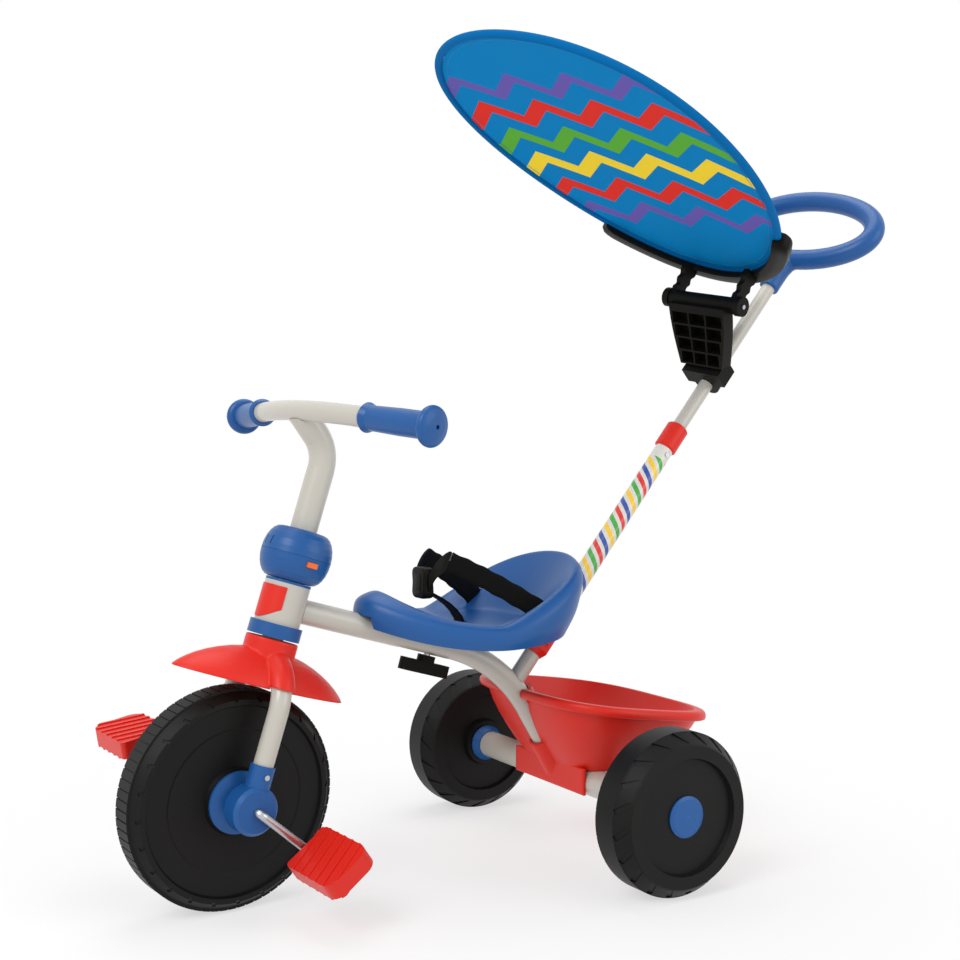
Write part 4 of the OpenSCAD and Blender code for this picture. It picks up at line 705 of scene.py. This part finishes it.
def rgb(code):
    """A colour as it should look on the screen, in the renderer's linear values."""
    parts = [int(code[i:i + 2], 16) / 255 for i in (0, 2, 4)]
    return tuple(c / 12.92 if c < 0.04045 else ((c + 0.055) / 1.055) ** 2.4 for c in parts) + (1.0,)


def moulded(name, colour, drift, grain, rough, bump, coat=0.0, metal=0.0, shine=0.5, extra=None):
    mat = bpy.data.materials.get(name) or bpy.data.materials.new(name)
    mat.use_nodes = True
    tree = mat.node_tree
    shader = tree.nodes["Principled BSDF"]
    base = extra(tree, rgb(colour)) if extra else rgb(colour)
    made = node(tree, "ShaderNodeGroup", {"Colour": base, "Drift": drift, "Grain": grain, "Roughness": rough},
                node_tree=MOULD)
    tree.links.new(made.outputs["Colour"], shader.inputs["Base Color"])
    tree.links.new(made.outputs["Roughness"], shader.inputs["Roughness"])
    lump = node(tree, "ShaderNodeBump", {"Height": made.outputs["Height"], "Strength": bump,
                                         "Distance": 0.0004})
    tree.links.new(lump.outputs[0], shader.inputs["Normal"])
    for key, value in (("Coat Weight", coat), ("Coat Roughness", 0.08), ("Metallic", metal),
                       ("Specular IOR Level", shine)):
        shader.inputs[key].default_value = value
    return mat


# %% [markdown]
# The lower pole wears a printed film: slanting bands of four colours on white. Angle and height round the
# pole give the band's number, and one turn climbs by four bands, so the film closes without a seam. The
# canopy's zigzag comes from its flat map, and so does the weave of cloth and webbing.

# %% Stripes, print and weave
BAND, INK_SHARE, FILM_FROM, FILM_TO = 0.0140, 0.55, 0.14, 0.36
FILM_INKS = ("2B4CA0", "F2C62E", "3FA53A", "DB2B25")
TOOTH, ZIG_SLOPE, ZIG_FROM, ZIG_SPAN = 0.046, 0.8, 0.15, 0.33
ZIG_BANDS = ((0.02, "6A5BAE"), (0.085, ""), (0.19, "E2342A"), (0.265, ""), (0.37, "F7D838"), (0.45, ""),
             (0.55, "5DAE3A"), (0.625, ""), (0.73, "E2342A"), (0.805, ""), (0.915, "6A5BAE"), (0.98, ""))


def pole_stripes(tree, base):
    where = node(tree, "ShaderNodeTexCoord").outputs["Object"]
    local = node(tree, "ShaderNodeMapping", {"Vector": where, "Location": FOOT * 0.001,
                 "Rotation": (0, math.radians(-LEAN), 0)}, vector_type="TEXTURE").outputs[0]
    part = node(tree, "ShaderNodeSeparateXYZ", {0: local}).outputs
    angle = math_node(tree, "ARCTAN2", part[1], part[0])
    climb = math_node(tree, "MULTIPLY", angle, -len(FILM_INKS) * BAND / math.tau)
    band = math_node(tree, "DIVIDE", math_node(tree, "SUBTRACT", part[2], climb), BAND)
    share = math_node(tree, "FRACT", band)
    ends = math_node(tree, "MULTIPLY", math_node(tree, "GREATER_THAN", part[2], FILM_FROM),
                     math_node(tree, "LESS_THAN", part[2], FILM_TO))
    inked = math_node(tree, "MULTIPLY", math_node(tree, "LESS_THAN", share, INK_SHARE), ends)
    pick = math_node(tree, "FRACT", math_node(tree, "DIVIDE", math_node(tree, "FLOOR", band), 4.0))
    ramp = node(tree, "ShaderNodeValToRGB", {0: math_node(tree, "ADD", pick, 0.02)})
    ramp.color_ramp.interpolation = "CONSTANT"
    for i, code in enumerate(FILM_INKS):
        stop = ramp.color_ramp.elements[i] if i < 2 else ramp.color_ramp.elements.new(i / 4)
        stop.position, stop.color = i / 4, rgb(code)
    return node(tree, "ShaderNodeMix", {0: inked, 6: base, 7: ramp.outputs[0]}, data_type="RGBA").outputs[2]


def zigzag(tree, base):
    where = node(tree, "ShaderNodeUVMap", uv_map="plan").outputs[0]
    plan = node(tree, "ShaderNodeSeparateXYZ", {0: where}).outputs
    fold = math_node(tree, "PINGPONG", math_node(tree, "ADD", plan[1], TOOTH), TOOTH)
    run = math_node(tree, "ADD", plan[0], math_node(tree, "MULTIPLY", fold, ZIG_SLOPE))
    share = math_node(tree, "DIVIDE", math_node(tree, "ADD", run, ZIG_FROM), ZIG_SPAN)
    ramp = node(tree, "ShaderNodeValToRGB", {0: share})
    ramp.color_ramp.interpolation = "CONSTANT"
    first, last = ramp.color_ramp.elements
    first.position, first.color = 0.0, base
    ramp.color_ramp.elements.remove(last)
    for place, code in ZIG_BANDS:
        ramp.color_ramp.elements.new(place).color = rgb(code) if code else base
    return ramp.outputs[0]


def woven(mat, scale, depth, sheen=0.0):
    """Replace the grain by a plain weave on the piece's own map."""
    tree = mat.node_tree
    plan = node(tree, "ShaderNodeUVMap", uv_map="plan").outputs[0]
    waves = [node(tree, "ShaderNodeTexWave", {"Vector": plan, "Scale": scale}, wave_type="BANDS",
                  bands_direction=axis).outputs["Fac"] for axis in ("X", "Y")]
    bump = next(n for n in tree.nodes if n.bl_idname == "ShaderNodeBump")
    tree.links.new(math_node(tree, "MULTIPLY", *waves), bump.inputs["Height"])
    bump.inputs["Distance"].default_value = depth
    mat.node_tree.nodes["Principled BSDF"].inputs["Sheen Weight"].default_value = sheen
    return mat


M = {
    "white": moulded("white_paint", "BEBAB0", 0.04, 260.0, 0.30, 0.02, coat=0.3),
    "blue": moulded("blue_plastic", "195494", 0.10, 900.0, 0.36, 0.08, shine=0.35),
    "red": moulded("red_plastic", "DA281B", 0.06, 900.0, 0.38, 0.08, shine=0.28),
    "black": moulded("black_plastic", "13120F", 0.25, 800.0, 0.42, 0.10, shine=0.08),
    "wheel": moulded("wheel_black", "0B0A09", 0.25, 500.0, 0.50, 0.20, shine=0.2),
    "orange": moulded("orange_plastic", "EE6A1E", 0.08, 900.0, 0.40, 0.08),
    "steel": moulded("steel", "B9BBBD", 0.10, 1500.0, 0.30, 0.05, metal=1.0),
    "striped": moulded("pole_film", "D8D5CD", 0.04, 260.0, 0.28, 0.02, coat=0.3, extra=pole_stripes),
    "canopy": woven(moulded("canopy_print", "0080C0", 0.05, 900.0, 0.80, 0.25, shine=0.05, extra=zigzag),
                    500.0, 0.0002),
    # The hem's deeper blue is partly the binding's own colour and partly painted shade of its rolled edge.
    "hem": woven(moulded("canopy_edge", "0566A6", 0.05, 900.0, 0.80, 0.25, shine=0.05), 500.0, 0.0002),
    "web": woven(moulded("webbing", "0D0C0B", 0.20, 900.0, 0.85, 0.6, shine=0.1), 260.0, 0.0003, 0.04),
    "thread": moulded("thread", "2F8FCB", 0.10, 2000.0, 0.80, 0.10),
}
print("materials", sorted(M))

# %% [markdown]
# Each solid and each piece now gets its material. The rest of the solids are those that pieces stand in for.

# %% Dress the solids and the pieces
LOOKS = {
    "white": "head_tube main_tube lower_tube pole_spigot rear_axle_tube upper_pole fork stem handlebar",
    "blue": "axle_bush_left axle_bush_right upper_steering_bush lower_steering_ring fork_end_left "
            "fork_end_right cover_upper cover_lower grip_left grip_right hub_cap_left hub_cap_right "
            "hub_flange_left hub_flange_right",
    "red": "head_badge pole_clip pole_release_button pole_collar pedal_left pedal_right",
    "black": "seat_knob canopy_bracket hinge_knobs",
    "wheel": "front_wheel rear_wheel_left rear_wheel_right",
    "orange": "release_button",
    "steel": "rear_axle_rod axle_nuts collar_screw seat_bolt hinge_pins fork_end_screws crank_axle",
    "striped": "lower_pole",
}
for look, names in LOOKS.items():
    for name in names.split():
        mesh = NODES[name].data
        for i in range(max(1, len(mesh.materials))):
            if i < len(mesh.materials):
                mesh.materials[i] = M[look]
            else:
                mesh.materials.append(M[look])
PIECES = {"blue": [seat, handle], "red": [basket, guard], "black": [cradle, buckle, tongues],
          "canopy": [cloth], "hem": [hem], "web": straps}
for look, pieces in PIECES.items():
    for ob in pieces:
        ob.data.materials.clear()
        ob.data.materials.append(M[look])
bare = sorted(set(NODES) - set(" ".join(LOOKS.values()).split()))
print("solids drawn again as pieces", bare)

# %% [markdown]
# ## Light, floor and camera
# A wide soft key from the upper left, a fill from the right, a top light and an even white sky. The floor is
# pale and fades into the white background, so that only the shadow near the wheels is left.

# %% Studio
scene = bpy.context.scene
scene.view_settings.view_transform = "Standard"
world = bpy.data.worlds.new("studio")
scene.world = world
world.use_nodes = True
tree = world.node_tree
tree.nodes.clear()
path = node(tree, "ShaderNodeLightPath").outputs
seen = math_node(tree, "MAXIMUM", path["Is Camera Ray"],
                 math_node(tree, "MAXIMUM", path["Is Glossy Ray"], path["Is Transmission Ray"]))
sky = node(tree, "ShaderNodeBackground", {"Color": (1, 1, 1, 1), "Strength": 0.6}).outputs[0]
backdrop = node(tree, "ShaderNodeBackground", {"Color": (1, 1, 1, 1), "Strength": 1.0}).outputs[0]
mixed = node(tree, "ShaderNodeMixShader", {0: seen, 1: sky, 2: backdrop}).outputs[0]
node(tree, "ShaderNodeOutputWorld", {"Surface": mixed})


def lamp(name, place, aim, size, power):
    data = bpy.data.lights.new(name, "AREA")
    data.shape, data.size, data.energy = "DISK", size, power
    ob = bpy.data.objects.new(name, data)
    ob.location = place
    ob.rotation_euler = (Vector(aim) - Vector(place)).to_track_quat("-Z", "Y").to_euler()
    scene.collection.objects.link(ob)


lamp("key", (2.6, 1.2, 2.6), (0.1, 0, 0.4), 1.8, 50)
lamp("fill", (-1.6, 2.6, 1.4), (0, 0, 0.4), 2.2, 22)
lamp("top", (-0.2, -0.4, 3.2), (0, 0, 0.3), 2.4, 34)

FLOOR_R = 9
ring = [(FLOOR_R * cos(3 * j), FLOOR_R * sin(3 * j), 0) for j in range(120)]
mesh = bpy.data.meshes.new("floor")
mesh.from_pydata(ring, [], [tuple(range(120))])
floor = bpy.data.objects.new("floor", mesh)
scene.collection.objects.link(floor)
mat = bpy.data.materials.new("floor")
mat.use_nodes = True
mesh.materials.append(mat)
tree = mat.node_tree
shader = tree.nodes["Principled BSDF"]
shader.inputs["Base Color"].default_value = (0.9, 0.9, 0.9, 1)
shader.inputs["Roughness"].default_value = 0.9
shader.inputs["Specular IOR Level"].default_value = 0.0
out = next(n for n in tree.nodes if n.bl_idname == "ShaderNodeOutputMaterial")
where = node(tree, "ShaderNodeTexCoord").outputs["Object"]
middle = node(tree, "ShaderNodeMapping", {"Vector": where, "Location": (-0.2, 0, 0)}).outputs[0]
near = node(tree, "ShaderNodeVectorMath", {0: middle}, operation="LENGTH").outputs["Value"]
fade = node(tree, "ShaderNodeMapRange", {0: near, 1: 0.4, 2: 0.95, 3: 0.6},
            interpolation_type="SMOOTHSTEP").outputs[0]
glow = node(tree, "ShaderNodeEmission", {"Color": (1, 1, 1, 1), "Strength": 1.0}).outputs[0]
both = node(tree, "ShaderNodeMixShader", {0: fade, 1: shader.outputs[0], 2: glow}).outputs[0]
tree.links.new(both, out.inputs["Surface"])

# %% [markdown]
# The camera stands where the photograph was taken: its place, turn and focal length were fitted to the
# wheels, the head axis and the ground.

# %% Camera
YAW, PITCH = 58.812, 2.141
FOCAL, PICTURE, SENSOR = 1374.15, 960, 36
away = Vector((cos(YAW) * cos(PITCH), sin(YAW) * cos(PITCH), sin(PITCH)))
lens = bpy.data.cameras.new("camera")
lens.sensor_width, lens.lens = SENSOR, SENSOR * FOCAL / PICTURE
lens.clip_end = 40
camera = bpy.data.objects.new("camera", lens)
camera.location = (1.00409, 1.45467, 0.53812)
camera.rotation_euler = (-away).to_track_quat("-Z", "Y").to_euler()
scene.collection.objects.link(camera)
scene.camera = camera
